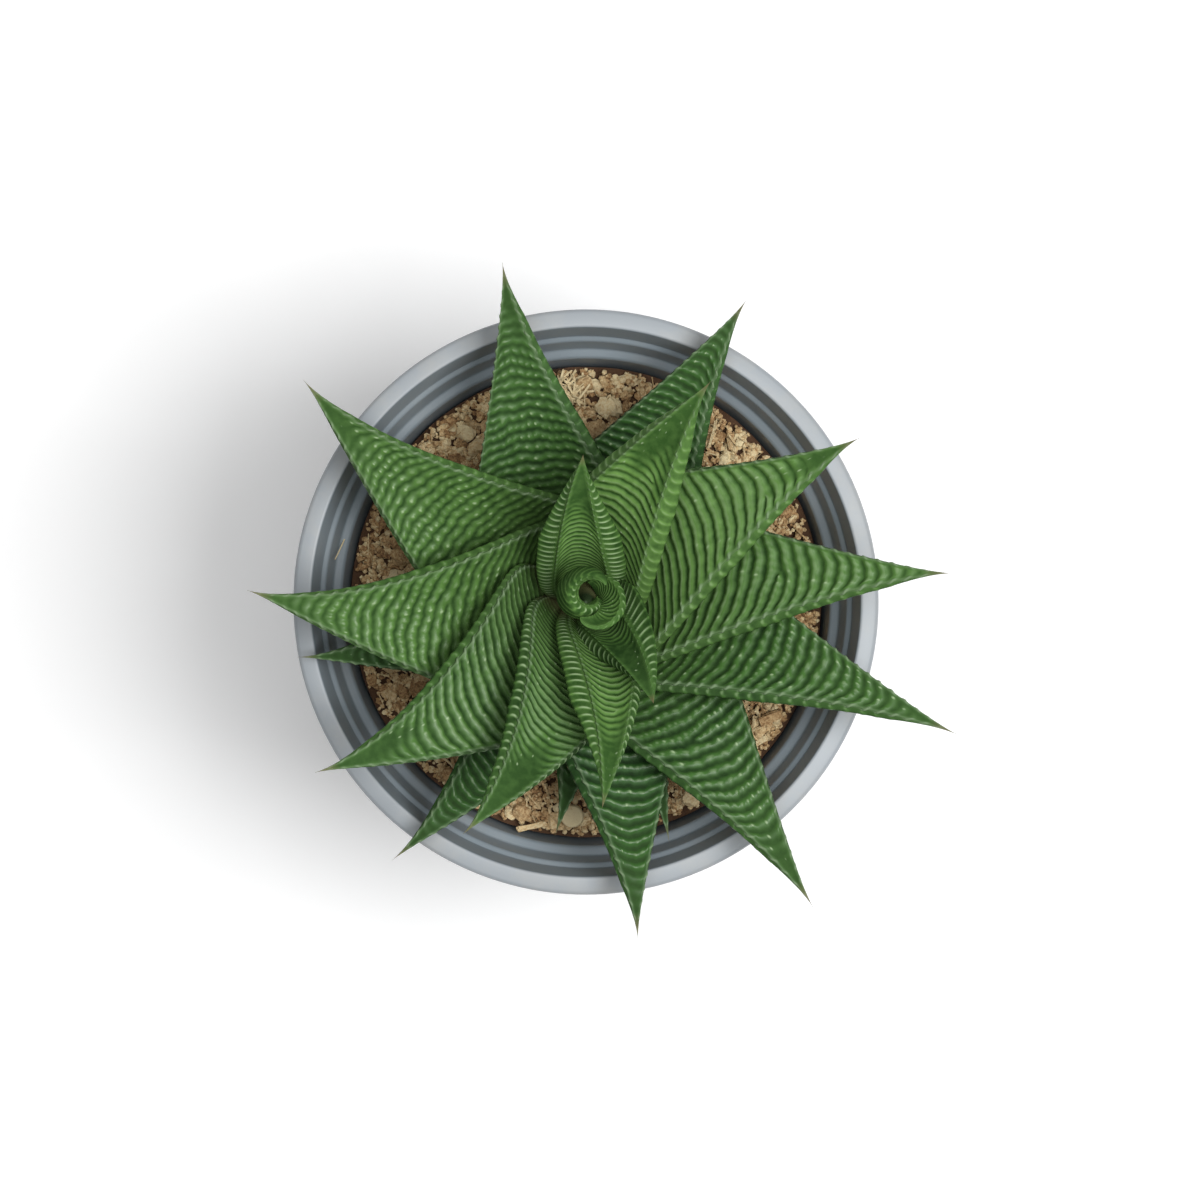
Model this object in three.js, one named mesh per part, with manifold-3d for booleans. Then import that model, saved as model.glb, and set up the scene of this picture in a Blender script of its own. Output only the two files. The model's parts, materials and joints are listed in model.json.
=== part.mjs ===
// A potted haworthia: a low rosette of broad, cross-ridged leaves on a short stem,
// growing in a round plastic nursery pot that is filled with coarse potting mix.
// Millimetres, +Z up. The origin is on the ground, under the middle of the pot.

import * as THREE from 'three';
import { mergeVertices } from 'three/addons/utils/BufferGeometryUtils.js';
import Module from 'manifold-3d';

const wasm = await Module();
wasm.setup();

// ---------------------------------------------------------------- driving dimensions

// Pot: a 9 cm nursery pot, measured at the lip.
const POT_HEIGHT = 78;
const LIP_RADIUS = 45;
const LIP_INNER_RADIUS = 42.2;
const LIP_THICKNESS = 1.4;
const SKIRT_DEPTH = 11;
const SKIRT_THICKNESS = 1.1;
const BEAD_DEPTH = 5;
const BEAD_RADIUS = 41.1;
const LEDGE_DEPTH = 9.5;
const LEDGE_OUTER_RADIUS = 39.4;
const LEDGE_INNER_RADIUS = 37.9;
const WALL = 1.3;
const FLOOR_INNER_RADIUS = 29.7;
const FLOOR_TOP = 3;
const FOOT_RADIUS = 31;
const FOOT_WIDTH = 4;
const FOOT_RECESS = 1.6;
const PAD_RADIUS = 7;
const DRAIN_HOLES = 6;
const DRAIN_RADIUS = 3;
const DRAIN_CIRCLE_RADIUS = 17;
const ROUND_STEPS = 40;

// Potting mix, with its surface about 14 mm under the lip at the wall and a low mound at the stem.
const GAP = 0.3;
const SOIL_EDGE_HEIGHT = 64;
const SOIL_MOUND = 3;
const SOIL_LUMP = 0.8;
const SOIL_RINGS = 7;
const SOIL_SEGMENTS = 32;
const CHIPS = 38;
const CHIP_SMALLEST = 1.6;
const CHIP_LARGEST = 4.6;
const CHIPS_FROM_RADIUS = 14;

// Stem: a thick, short core of leaf bases, as [radius, height] from its foot in the soil to its top.
const STEM_OUTLINE = [
  [0, 46], [3.6, 46], [4.4, 60], [6.6, 66], [6.8, 71], [5.2, 80], [3.4, 88], [2, 93], [0.7, 98], [0, 98.5],
];
const STEM_SIDES = 20;

// Leaves, the newest first. Each row: azimuth of the tip in degrees, anticlockwise from +X seen from
// above; reach of the tip from the stem's axis; height of the tip; half width of the blade at
// mid-length; sweep in degrees, by which the blade bends clockwise on its way out; and lean, how far
// the underside stands out on the clockwise side for each mm of its depth.
const LEAVES = [
  [304.0, 17.9, 108, 2.2, 16, -0.35],
  [90.8, 21.5, 112, 2.9, 7.5, 0],
  [274.7, 30.1, 114, 3.0, 17, 0.3],
  [60.4, 36.9, 114, 5.0, 10.5, 0.15],
  [242.2, 38.3, 112, 5.1, 20, 0.3],
  [30.9, 46.9, 109, 6.8, 4.5, 0.25],
  [212.2, 47.1, 106, 6.45, 18, 0.15],
  [4.5, 54.4, 103, 6.3, 5.5, 0.25],
  [178.0, 50.3, 100, 7.1, 16, 0],
  [340.4, 58.9, 97, 6.3, 5.5, 0.3],
  [141.8, 53.8, 94, 7.2, 12, 0],
  [306.7, 57.3, 91, 6.8, 6, 0.15],
  [103.8, 52.9, 88, 7.1, 6, 0.35],
  [278.8, 51.7, 86, 6.9, 6, 0.2],
  [62.0, 52.1, 84, 6.8, 6, 0.2],
  [233.1, 49.3, 82, 5.1, 14, 0.2],
  [190.8, 44.9, 81, 4.5, 10, 0.2],
  [262.4, 36.5, 73, 3.8, 10, 0.2],
  [289.1, 39.2, 75, 3.8, 10, 0.2],
];
const NEWEST_ROOT_HEIGHT = 87;
const OLDEST_ROOT_HEIGHT = 69;
const ROOT_RADIUS = 1;
const YOUNG_ROOT_NARROWING = 0.45;
const OLD_ROOT_NARROWING = 0.75;
const ROOT_SHOULDER = 0.09;
const BLADE_ARCH = 2;
const OLD_BLADE_EXTRA_ARCH = 2;
const ROLL_AT_ROOT = 24;
const ROLL_AT_TIP = 10;
const ROLL_STARTS_AT_LEAF = 0.75;
const ROLL_FULL_AT_LEAF = 2;
const OLD_CHANNEL = 0.45;
const YOUNG_CHANNEL = 1.3;
const CHANNEL_LOST_AT_TIP = 0.6;
const OLD_TAPER = 1.42;
const YOUNG_TAPER = 0.95;
const YOUNG_LEAVES = 5;
const TIGHTEST_CURL = 0.33;
const FACE_SHIFT = 0.33;

// Heart: the two youngest leaves stand up and curl clockwise round the growing point, a little beside
// the stem's axis. bow is how far the spine swings out between its root and its tip, and roll is in
// degrees at the root and at the tip: the left leaf turns its back up and the right one its face.
const HEART_CENTRE = [0.7, 0.8];
const HEART = {
  heart_left: {
    azimuth: 37, sweep: 190, reach: 2.8, rootHeight: 94, tipHeight: 106, halfWidth: 1.9, bow: 0.5,
    roll: [-60, -40], edgeDepth: 0.5, fullness: 1.6,
  },
  heart_right: {
    azimuth: 245, sweep: 160, reach: 3.4, rootHeight: 92, tipHeight: 104, halfWidth: 1.7, bow: 1.3,
    roll: [15, 15], edgeDepth: 0.6, fullness: 0.7,
  },
};
const HEART_CHANNEL = 0.6;
const HEART_TAPER = 0.6;
const HEART_ROOT_NARROWING = 0.3;

// Blade thickness along the leaf, as [share of the length, thickness] for a blade of usual width.
const THICKNESS = [[0, 1.6], [0.25, 3.0], [0.5, 3.4], [0.8, 2.0], [1, 0.9]];
const USUAL_HALF_WIDTH = 7;
const YOUNG_FULLNESS = 1.9;
const THICKEST_SHARE = 1.25;
const THINNEST_TIP = 0.75;
const OLD_EDGE_DEPTH = 0.42;
const YOUNG_EDGE_DEPTH = 0.9;
const EDGE_BULGE = 0.12;
const SECTION_POINTS = 8;

// Cross ridges on the blades.
const RIDGE_SPACING = 3.5;
const RIDGE_HEIGHT = 0.5;
const YOUNG_RIDGES_FROM = 0.12;
const OLD_RIDGES_FROM = 0.24;
const RIDGES_TO = 0.86;
const RIDGE_BOW = 1.2;
const LEAF_CLEARANCE = 0.55;
const PLAIN_STEPS = 9;
const PLAIN_SWEEP_STEP = 6;
const FIRST_PLAIN_STATION = -0.03;
const LAST_STATION = 0.995;

// ---------------------------------------------------------------- materials

const potPlastic = new THREE.MeshStandardMaterial({ color: '#9ea5ab', roughness: 0.5, metalness: 0 });
const pottingMix = new THREE.MeshStandardMaterial({ color: '#7d5f3f', roughness: 1, metalness: 0 });
const stemSkin = new THREE.MeshStandardMaterial({ color: '#6f7a4a', roughness: 0.8, metalness: 0 });
const OLD_LEAF_COLOUR = new THREE.Color('#1f4a2c');
const YOUNG_LEAF_COLOUR = new THREE.Color('#4c8136');

function leafSkin(age) {
  const colour = YOUNG_LEAF_COLOUR.clone().lerp(OLD_LEAF_COLOUR, age);
  return new THREE.MeshStandardMaterial({ color: colour, roughness: 0.45, metalness: 0 });
}

// ---------------------------------------------------------------- solids: joining and cutting

// A closed mesh with shared corners: triangles that collapse on the axis of a turned shape are dropped.
function closedMesh(geometry) {
  const bare = geometry.clone();
  bare.deleteAttribute('normal');
  bare.deleteAttribute('uv');
  const merged = mergeVertices(bare, 1e-4);
  const corners = Array.from(merged.index.array);
  const kept = [];
  for (let i = 0; i < corners.length; i += 3) {
    const [a, b, c] = corners.slice(i, i + 3);
    if (a !== b && b !== c && c !== a) kept.push(a, b, c);
  }
  merged.setIndex(kept);
  return merged;
}

function solidFrom(geometry) {
  const mesh = closedMesh(geometry);
  return new wasm.Manifold(new wasm.Mesh({
    numProp: 3,
    vertProperties: new Float32Array(mesh.attributes.position.array),
    triVerts: new Uint32Array(mesh.index.array),
  }));
}

function geometryFrom(solid) {
  const mesh = solid.getMesh();
  const geometry = new THREE.BufferGeometry();
  geometry.setAttribute('position', new THREE.BufferAttribute(new Float32Array(mesh.vertProperties), 3));
  geometry.setIndex(new THREE.BufferAttribute(new Uint32Array(mesh.triVerts), 1));
  geometry.computeVertexNormals();
  return geometry;
}

function largestPiece(solid) {
  const pieces = solid.decompose();
  return pieces.reduce((best, piece) => (piece.volume() > best.volume() ? piece : best));
}

function turned(profile, steps) {
  const points = profile.map(([radius, height]) => new THREE.Vector2(radius, height));
  const geometry = new THREE.LatheGeometry(points, steps);
  geometry.rotateX(Math.PI / 2);
  return geometry;
}

function uprightCylinder(radius, bottom, top, sides) {
  const geometry = new THREE.CylinderGeometry(radius, radius, top - bottom, sides);
  geometry.rotateX(Math.PI / 2);
  geometry.translate(0, 0, (top + bottom) / 2);
  return geometry;
}

const radians = THREE.MathUtils.degToRad;
const lerp = THREE.MathUtils.lerp;

// The same draws every time: a small seeded generator of numbers from 0 to 1.
function seededDraws(seed) {
  let state = seed;
  return () => {
    state = (state * 1664525 + 1013904223) % 4294967296;
    return state / 4294967296;
  };
}

// ---------------------------------------------------------------- pot

// Half section of the moulding. The lip turns down into a skirt that stands clear of the wall, and
// inside it steps in twice: at a small bead, and at the ledge that the next pot of a stack sits on.
function potProfile() {
  const lipUnderside = POT_HEIGHT - LIP_THICKNESS;
  const beadTop = POT_HEIGHT - BEAD_DEPTH;
  const ledgeTop = POT_HEIGHT - LEDGE_DEPTH;
  return [
    [0, 0],
    [PAD_RADIUS, 0],
    [PAD_RADIUS + 1, FOOT_RECESS],
    [FOOT_RADIUS - FOOT_WIDTH - 1, FOOT_RECESS],
    [FOOT_RADIUS - FOOT_WIDTH, 0],
    [FOOT_RADIUS - 0.6, 0],
    [FOOT_RADIUS, 0.6],
    [LEDGE_INNER_RADIUS + WALL, ledgeTop - WALL],
    [LEDGE_OUTER_RADIUS + WALL, ledgeTop - 0.4],
    [BEAD_RADIUS + WALL * 0.8, beadTop - 0.6],
    [LIP_INNER_RADIUS + WALL * 0.8, lipUnderside],
    [LIP_RADIUS - SKIRT_THICKNESS, lipUnderside],
    [LIP_RADIUS - SKIRT_THICKNESS - 0.4, POT_HEIGHT - SKIRT_DEPTH],
    [LIP_RADIUS - 0.4, POT_HEIGHT - SKIRT_DEPTH],
    [LIP_RADIUS, POT_HEIGHT - 0.5],
    [LIP_RADIUS - 0.5, POT_HEIGHT],
    [LIP_INNER_RADIUS, POT_HEIGHT],
    [BEAD_RADIUS, beadTop],
    [BEAD_RADIUS - 0.8, beadTop - 0.6],
    [LEDGE_OUTER_RADIUS, ledgeTop + 0.7],
    [LEDGE_OUTER_RADIUS - 0.3, ledgeTop],
    [LEDGE_INNER_RADIUS, ledgeTop],
    [FLOOR_INNER_RADIUS, FLOOR_TOP],
    [0, FLOOR_TOP],
  ];
}

function drainHole(number) {
  const angle = (number / DRAIN_HOLES) * 2 * Math.PI;
  const hole = uprightCylinder(DRAIN_RADIUS, -1, FLOOR_TOP + 1, 16);
  hole.translate(DRAIN_CIRCLE_RADIUS * Math.cos(angle), DRAIN_CIRCLE_RADIUS * Math.sin(angle), 0);
  return hole;
}

function potSolid() {
  let pot = solidFrom(turned(potProfile(), ROUND_STEPS));
  for (let number = 0; number < DRAIN_HOLES; number += 1) {
    pot = pot.subtract(solidFrom(drainHole(number)));
  }
  return pot;
}

// Radius of the pot's inner wall below the ledge, at a height.
function innerWallRadius(height) {
  const share = (height - FLOOR_TOP) / (POT_HEIGHT - LEDGE_DEPTH - FLOOR_TOP);
  return lerp(FLOOR_INNER_RADIUS, LEDGE_INNER_RADIUS, share);
}

// ---------------------------------------------------------------- leaves

// A leaf is described by its spine, the line down the middle of its upper face, and by a section
// that changes along it: s is the share of the length from the root, 0, to the tip, 1.
function spine(leaf, s) {
  const radius = ROOT_RADIUS + (leaf.reach - ROOT_RADIUS) * s + 4 * leaf.bow * s * (1 - s);
  const angle = radians(leaf.azimuth + leaf.sweep * (1 - s));
  const height = lerp(leaf.rootHeight, leaf.tipHeight, s) + 4 * leaf.arch * s * (1 - s);
  const [x, y] = leaf.centre;
  return new THREE.Vector3(x + radius * Math.cos(angle), y + radius * Math.sin(angle), height);
}

function spineLength(leaf) {
  const steps = 20;
  let length = 0;
  for (let i = 0; i < steps; i += 1) length += spine(leaf, i / steps).distanceTo(spine(leaf, (i + 1) / steps));
  return length;
}

// Directions at a place on the spine: across the blade, anticlockwise, and out of its upper face.
// The roll lifts the clockwise edge, so that each blade laps over the next older one.
function bladeDirections(leaf, s) {
  const step = 0.01;
  const along = spine(leaf, s + step).sub(spine(leaf, s - step)).normalize();
  const angle = radians(leaf.azimuth + leaf.sweep * (1 - s));
  const inwardAndUp = new THREE.Vector3(-Math.cos(angle), -Math.sin(angle), 1);
  const side = new THREE.Vector3().crossVectors(inwardAndUp, along).normalize();
  const up = new THREE.Vector3().crossVectors(along, side);
  const roll = radians(lerp(leaf.roll[0], leaf.roll[1], s));
  const across = side.clone().multiplyScalar(Math.cos(roll)).addScaledVector(up, -Math.sin(roll));
  const outOfFace = up.clone().multiplyScalar(Math.cos(roll)).addScaledVector(side, Math.sin(roll));
  return { across, outOfFace };
}

function halfWidth(leaf, s) {
  const taper = Math.max(2 * (1 - s), 0) ** leaf.taper;
  const narrowRoot = 1 - leaf.rootNarrowing * Math.exp(-((s / ROOT_SHOULDER) ** 2));
  return Math.max(leaf.halfWidth * taper * narrowRoot, THINNEST_TIP / 2);
}

// Blade thickness at a place. It stays in proportion to the blade's width, so that tips are slim.
function thickness(leaf, s) {
  const last = THICKNESS.findIndex(([share]) => share >= s);
  const [fromShare, from] = THICKNESS[Math.max(last - 1, 0)];
  const [toShare, to] = THICKNESS[Math.max(last, 1)];
  const usual = lerp(from, to, (s - fromShare) / (toShare - fromShare));
  const full = usual * leaf.fullness * (leaf.halfWidth / USUAL_HALF_WIDTH) ** 0.3;
  return Math.max(Math.min(full, THICKEST_SHARE * halfWidth(leaf, s)), THINNEST_TIP);
}

// A point of the blade from its flat drawing: a across and b above the upper face at the spine. The
// drawing leans, so that the clockwise side shows beside the face, and is then rolled up into a
// channel, more at the root and on young leaves.
function bladePoint(leaf, s, a, b) {
  const { across, outOfFace } = bladeDirections(leaf, s);
  const w = halfWidth(leaf, s);
  const curl = Math.min((leaf.channel * (1 - CHANNEL_LOST_AT_TIP * s)) / w, TIGHTEST_CURL);
  const turn = curl * (a + leaf.lean * (b + FACE_SHIFT * w));
  const reach = 1 / curl - b;
  return spine(leaf, s)
    .addScaledVector(across, reach * Math.sin(turn))
    .addScaledVector(outOfFace, 1 / curl - reach * Math.cos(turn));
}

// Flat outline of the section: upper face, then the two narrow side faces and the keeled underside.
// swell pushes the whole outline outwards.
function sectionOutline(leaf, s, swell) {
  const w = halfWidth(leaf, s);
  const t = thickness(leaf, s);
  const side = w + EDGE_BULGE * t + swell;
  const margin = w + 0.4 * swell;
  const edge = leaf.edgeDepth * t + 0.8 * swell;
  return [
    [margin, 0.5 * swell],
    [0.5 * w, swell],
    [-0.5 * w, swell],
    [-margin, 0.5 * swell],
    [-side, -edge],
    [-0.5 * w, -t - swell],
    [0.5 * w, -t - swell],
    [side, -edge],
  ];
}

function ridgeHeight(leaf) {
  return RIDGE_HEIGHT * Math.min(1, leaf.halfWidth / USUAL_HALF_WIDTH + 0.2);
}

// Stations along the leaf, each with how far its ring stands out: ridges take a valley and a crest.
function ridgedStations(leaf) {
  const start = lerp(YOUNG_RIDGES_FROM, OLD_RIDGES_FROM, leaf.age);
  const ridges = Math.round((spineLength(leaf) * (RIDGES_TO - start)) / RIDGE_SPACING);
  const stations = [{ s: 0, swell: 0 }, { s: 0.06, swell: 0 }];
  for (let half = 0; half <= 2 * ridges; half += 1) {
    const share = half / (2 * ridges);
    const crowded = 0.75 * share + 0.25 * share * share;
    const crest = half % 2 === 1 ? ridgeHeight(leaf) * Math.min(1, 4 * (1 - share)) : 0;
    stations.push({ s: lerp(start, RIDGES_TO, crowded), swell: crest });
  }
  stations.push({ s: lerp(RIDGES_TO, 1, 0.5), swell: 0 }, { s: LAST_STATION, swell: 0 });
  return stations;
}

// Stations of a smooth blade, closer together towards the root, and more where the blade sweeps round.
function plainStations(leaf, swell) {
  const steps = Math.max(PLAIN_STEPS, Math.round(leaf.sweep / PLAIN_SWEEP_STEP));
  const stations = [];
  for (let step = 0; step <= steps; step += 1) {
    const share = step / steps;
    stations.push({ s: lerp(FIRST_PLAIN_STATION, LAST_STATION, lerp(share * share, share, 0.25)), swell });
  }
  return stations;
}

// Wraps rings of the section along the spine and closes both ends with a ladder of triangles.
function leafGeometry(leaf, stations) {
  const length = spineLength(leaf);
  const around = SECTION_POINTS;
  const positions = [];
  const corners = [];
  for (const { s, swell } of stations) {
    const w = halfWidth(leaf, s);
    const bow = (RIDGE_BOW / length) * 4 * s * (1 - s);
    for (const [a, b] of sectionOutline(leaf, s, swell)) {
      const edge = Math.min(1, Math.abs(a) / w);
      const bowed = s - bow * edge * edge;
      positions.push(...bladePoint(leaf, bowed, a, b).toArray());
    }
  }
  const last = (stations.length - 1) * around;
  for (let ring = 0; ring < stations.length - 1; ring += 1) {
    for (let i = 0; i < around; i += 1) {
      const a = ring * around + i;
      const b = ring * around + ((i + 1) % around);
      corners.push(a, b, a + around, b, b + around, a + around);
    }
  }
  const ladder = [[0, 7, 1], [1, 7, 6], [1, 6, 2], [2, 6, 5], [2, 5, 3], [3, 5, 4]];
  for (const [a, b, c] of ladder) {
    corners.push(a, b, c);
    corners.push(last + a, last + c, last + b);
  }
  const geometry = new THREE.BufferGeometry();
  geometry.setAttribute('position', new THREE.Float32BufferAttribute(positions, 3));
  geometry.setIndex(corners);
  return geometry;
}

function rosetteLeaf(row, index) {
  const [azimuth, reach, tipHeight, halfWidthMiddle, sweep, lean] = row;
  const age = index / (LEAVES.length - 1);
  const youth = Math.max(0, 1 - index / YOUNG_LEAVES);
  const olderThanNewest = (index - ROLL_STARTS_AT_LEAF) / (ROLL_FULL_AT_LEAF - ROLL_STARTS_AT_LEAF);
  const rolled = THREE.MathUtils.clamp(olderThanNewest, 0, 1);
  return {
    name: `leaf_${String(index + 1).padStart(2, '0')}`,
    azimuth,
    reach,
    tipHeight,
    halfWidth: halfWidthMiddle,
    sweep,
    lean,
    age,
    centre: [0, 0],
    bow: 0,
    roll: [ROLL_AT_ROOT * rolled, ROLL_AT_TIP * rolled],
    taper: lerp(OLD_TAPER, YOUNG_TAPER, youth),
    rootNarrowing: lerp(YOUNG_ROOT_NARROWING, OLD_ROOT_NARROWING, age),
    rootHeight: lerp(NEWEST_ROOT_HEIGHT, OLDEST_ROOT_HEIGHT, age),
    arch: BLADE_ARCH + OLD_BLADE_EXTRA_ARCH * age,
    channel: lerp(OLD_CHANNEL, YOUNG_CHANNEL, youth),
    fullness: lerp(1, YOUNG_FULLNESS, youth),
    edgeDepth: lerp(OLD_EDGE_DEPTH, YOUNG_EDGE_DEPTH, youth ** 1.5),
  };
}

function heartLeaf(name) {
  return {
    ...HEART[name],
    name,
    lean: 0,
    age: 0,
    centre: HEART_CENTRE,
    taper: HEART_TAPER,
    rootNarrowing: HEART_ROOT_NARROWING,
    arch: 0,
    channel: HEART_CHANNEL,
  };
}

// ---------------------------------------------------------------- soil

function soilHeight(x, y) {
  const radius = Math.hypot(x, y);
  const mound = SOIL_MOUND * Math.max(0, 1 - (radius / innerWallRadius(SOIL_EDGE_HEIGHT)) ** 2);
  const lumps = Math.sin(0.55 * x + 1.3) * Math.cos(0.48 * y - 0.7) + 0.6 * Math.sin(0.9 * x - 1.1 * y);
  return SOIL_EDGE_HEIGHT + mound + SOIL_LUMP * lumps;
}

function soilBody() {
  const bottomHeight = FLOOR_TOP + GAP;
  const topRadius = innerWallRadius(SOIL_EDGE_HEIGHT - 2) - GAP;
  const profile = [[0, bottomHeight], [FLOOR_INNER_RADIUS - GAP, bottomHeight]];
  for (let ring = 0; ring <= SOIL_RINGS; ring += 1) {
    profile.push([topRadius * (1 - ring / SOIL_RINGS), SOIL_EDGE_HEIGHT]);
  }
  const body = closedMesh(turned(profile, SOIL_SEGMENTS));
  const position = body.attributes.position;
  for (let i = 0; i < position.count; i += 1) {
    if (position.getZ(i) > bottomHeight + 1) {
      position.setZ(i, soilHeight(position.getX(i), position.getY(i)));
    }
  }
  return solidFrom(body);
}

// Bark chips and crumbs: rough blocks of bark that lie half sunk in the surface.
function chip(draw) {
  const long = lerp(CHIP_SMALLEST, CHIP_LARGEST, draw() ** 2);
  const block = new THREE.BoxGeometry(long, long * lerp(0.5, 0.9, draw()), long * lerp(0.35, 0.6, draw()));
  block.rotateX(lerp(-0.5, 0.5, draw()));
  block.rotateY(lerp(-0.5, 0.5, draw()));
  block.rotateZ(2 * Math.PI * draw());
  const room = innerWallRadius(SOIL_EDGE_HEIGHT) - 0.75 * long - 2 * GAP;
  const radius = lerp(CHIPS_FROM_RADIUS, room, Math.sqrt(draw()));
  const angle = 2 * Math.PI * draw();
  const x = radius * Math.cos(angle);
  const y = radius * Math.sin(angle);
  block.translate(x, y, soilHeight(x, y) + 0.1 * long);
  return block;
}

function soilSolid(stemHole, lowLeaves) {
  const draw = seededDraws(7);
  let soil = soilBody();
  for (let number = 0; number < CHIPS; number += 1) soil = soil.add(solidFrom(chip(draw)));
  soil = soil.subtract(stemHole);
  for (const leaf of lowLeaves) soil = soil.subtract(leaf);
  return largestPiece(soil);
}

// ---------------------------------------------------------------- stem

// The stem's outline with the gap that everything round it keeps.
function withRoomRound(outline) {
  const [foot, ...rest] = outline;
  const top = rest.pop();
  const sides = rest.map(([radius, height], index) => [radius + GAP, height - (index === 0 ? GAP : 0)]);
  return [[foot[0], foot[1] - GAP], ...sides, [top[0], top[1] + GAP]];
}

// ---------------------------------------------------------------- assembly

const plant = new THREE.Group();

function addNode(name, solid, material) {
  const mesh = new THREE.Mesh(geometryFrom(solid), material);
  mesh.name = name;
  plant.add(mesh);
}

const stem = solidFrom(turned(STEM_OUTLINE, STEM_SIDES));
const stemRoom = solidFrom(turned(withRoomRound(STEM_OUTLINE), STEM_SIDES));
addNode('pot', potSolid(), potPlastic);
addNode('stem', stem, stemSkin);

// The newest leaf keeps its whole shape. Every older one is cut where a newer one, with room
// round it, lies in its way, as the bases of real leaves are pressed thin between their neighbours.
const leaves = [heartLeaf('heart_left'), heartLeaf('heart_right'), ...LEAVES.map(rosetteLeaf)];
const taken = [];
for (const leaf of leaves) {
  let solid = solidFrom(leafGeometry(leaf, ridgedStations(leaf))).subtract(stemRoom);
  for (const other of taken) solid = solid.subtract(other);
  addNode(leaf.name, largestPiece(solid), leafSkin(leaf.age));
  taken.push(solidFrom(leafGeometry(leaf, plainStations(leaf, RIDGE_HEIGHT + LEAF_CLEARANCE))));
}
addNode('soil', soilSolid(stemRoom, taken), pottingMix);

export default plant;
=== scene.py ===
# %% [markdown]
# # A potted haworthia
# A haworthia is a small succulent: a rosette of thick, pointed leaves with raised ridges across them.
# This one grows in a grey nursery pot of bark chips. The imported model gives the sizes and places, and
# this file makes the finer pieces and the finishes that the camera sees. Lengths are written in
# millimetres, because plants and pots are measured so, and MM turns them into Blender's metres.

# %% Load the frame
import json
import math
import random

import bmesh
import bpy
import numpy as np
from mathutils import Euler, Matrix, Vector


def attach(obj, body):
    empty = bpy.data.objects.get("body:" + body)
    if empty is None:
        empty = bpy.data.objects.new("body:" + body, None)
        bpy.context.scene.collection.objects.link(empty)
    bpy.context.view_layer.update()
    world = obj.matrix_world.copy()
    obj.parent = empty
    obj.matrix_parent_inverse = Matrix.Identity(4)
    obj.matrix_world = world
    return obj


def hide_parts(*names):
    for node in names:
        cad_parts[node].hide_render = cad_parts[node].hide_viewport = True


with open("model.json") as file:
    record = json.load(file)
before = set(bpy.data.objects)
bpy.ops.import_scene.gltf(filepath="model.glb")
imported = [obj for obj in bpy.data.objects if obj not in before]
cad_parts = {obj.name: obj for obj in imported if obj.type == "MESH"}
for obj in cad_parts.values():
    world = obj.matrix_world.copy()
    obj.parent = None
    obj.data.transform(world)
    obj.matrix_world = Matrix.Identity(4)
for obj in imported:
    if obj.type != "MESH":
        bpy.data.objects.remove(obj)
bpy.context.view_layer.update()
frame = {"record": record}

MM = 0.001


# %% [markdown]
# ## Camera
# The photograph looks straight down into the pot. A wide lens close by would swell the leaves that
# stand up towards it, so a long lens looks from 70 cm above the rim. The camera stands a little beside
# the pot's axis, because the pot isn't quite in the middle of the picture.

# %% Camera
RIM_HEIGHT = 78
PICTURE_WIDTH_AT_RIM = 184.1
CAMERA_ABOVE_RIM = 700
CAMERA_BESIDE_AXIS = (2.16, 0.31)
SENSOR_WIDTH = 36
NEAREST_SEEN = 10


def add_object(name, data):
    """Links a new object to the scene, with this mesh, lamp or camera as its data."""
    thing = bpy.data.objects.new(name, data)
    bpy.context.scene.collection.objects.link(thing)
    return thing


camera_data = bpy.data.cameras.new("camera")
camera_data.sensor_width = SENSOR_WIDTH
camera_data.lens = SENSOR_WIDTH * CAMERA_ABOVE_RIM / PICTURE_WIDTH_AT_RIM
camera_data.clip_start = NEAREST_SEEN * MM
camera = add_object("camera", camera_data)
camera.location = [length * MM for length in (*CAMERA_BESIDE_AXIS, RIM_HEIGHT + CAMERA_ABOVE_RIM)]
bpy.context.scene.camera = camera
print("lens in mm:", round(camera_data.lens, 1))

# %% [markdown]
# ## Colours and nodes
# A colour picked from a screen is an sRGB hex value, and a shader works with linear light, so one
# function turns the first into the second. Nodes could be set and linked one line at a time, but a
# material has dozens of sockets. So one function adds a node with its settings, and fills each of its
# sockets with a value or with another node's output.

# %% Helpers for materials
def linear(hex_code):
    """The linear colour of an sRGB hex value such as '#9ea5ab'."""
    shares = [int(hex_code[i:i + 2], 16) / 255 for i in (1, 3, 5)]
    return [c / 12.92 if c <= 0.04045 else ((c + 0.055) / 1.055) ** 2.4 for c in shares] + [1.0]


def fill(tree, node, inputs):
    """Fills sockets, by name or number, each with a value or with another node's output."""
    for socket, value in inputs.items():
        if isinstance(value, bpy.types.NodeSocket):
            tree.links.new(value, node.inputs[socket])
        else:
            node.inputs[socket].default_value = value


def add_node(tree, kind, inputs=None, **settings):
    node = tree.nodes.new(kind)
    for name, value in settings.items():
        setattr(node, name, value)
    fill(tree, node, inputs or {})
    return node


def new_material(name):
    """An empty material with its Principled shader, and the tree that the other nodes join."""
    material = bpy.data.materials.new(name)
    material.use_nodes = True
    tree = material.node_tree
    return material, tree, tree.nodes["Principled BSDF"]


# The Mix node has sockets of the same name for numbers and for colours, so these are by number.
FACTOR, FIRST, SECOND, MIXED = 0, 6, 7, 2

# %% [markdown]
# ## Pieces
# Every piece is drawn in a bmesh, Blender's mesh for editing, and then turned into a mesh. Its object
# stays at the origin, so a pattern on Object coordinates keeps its place. It rides on the one body of
# the frame, names the finish that it takes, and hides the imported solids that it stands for.

# %% Helpers for pieces
def mesh_of(bm, name):
    """Turns a bmesh into a mesh, and frees it."""
    mesh = bpy.data.meshes.new(name)
    bm.to_mesh(mesh)
    bm.free()
    return mesh


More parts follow.
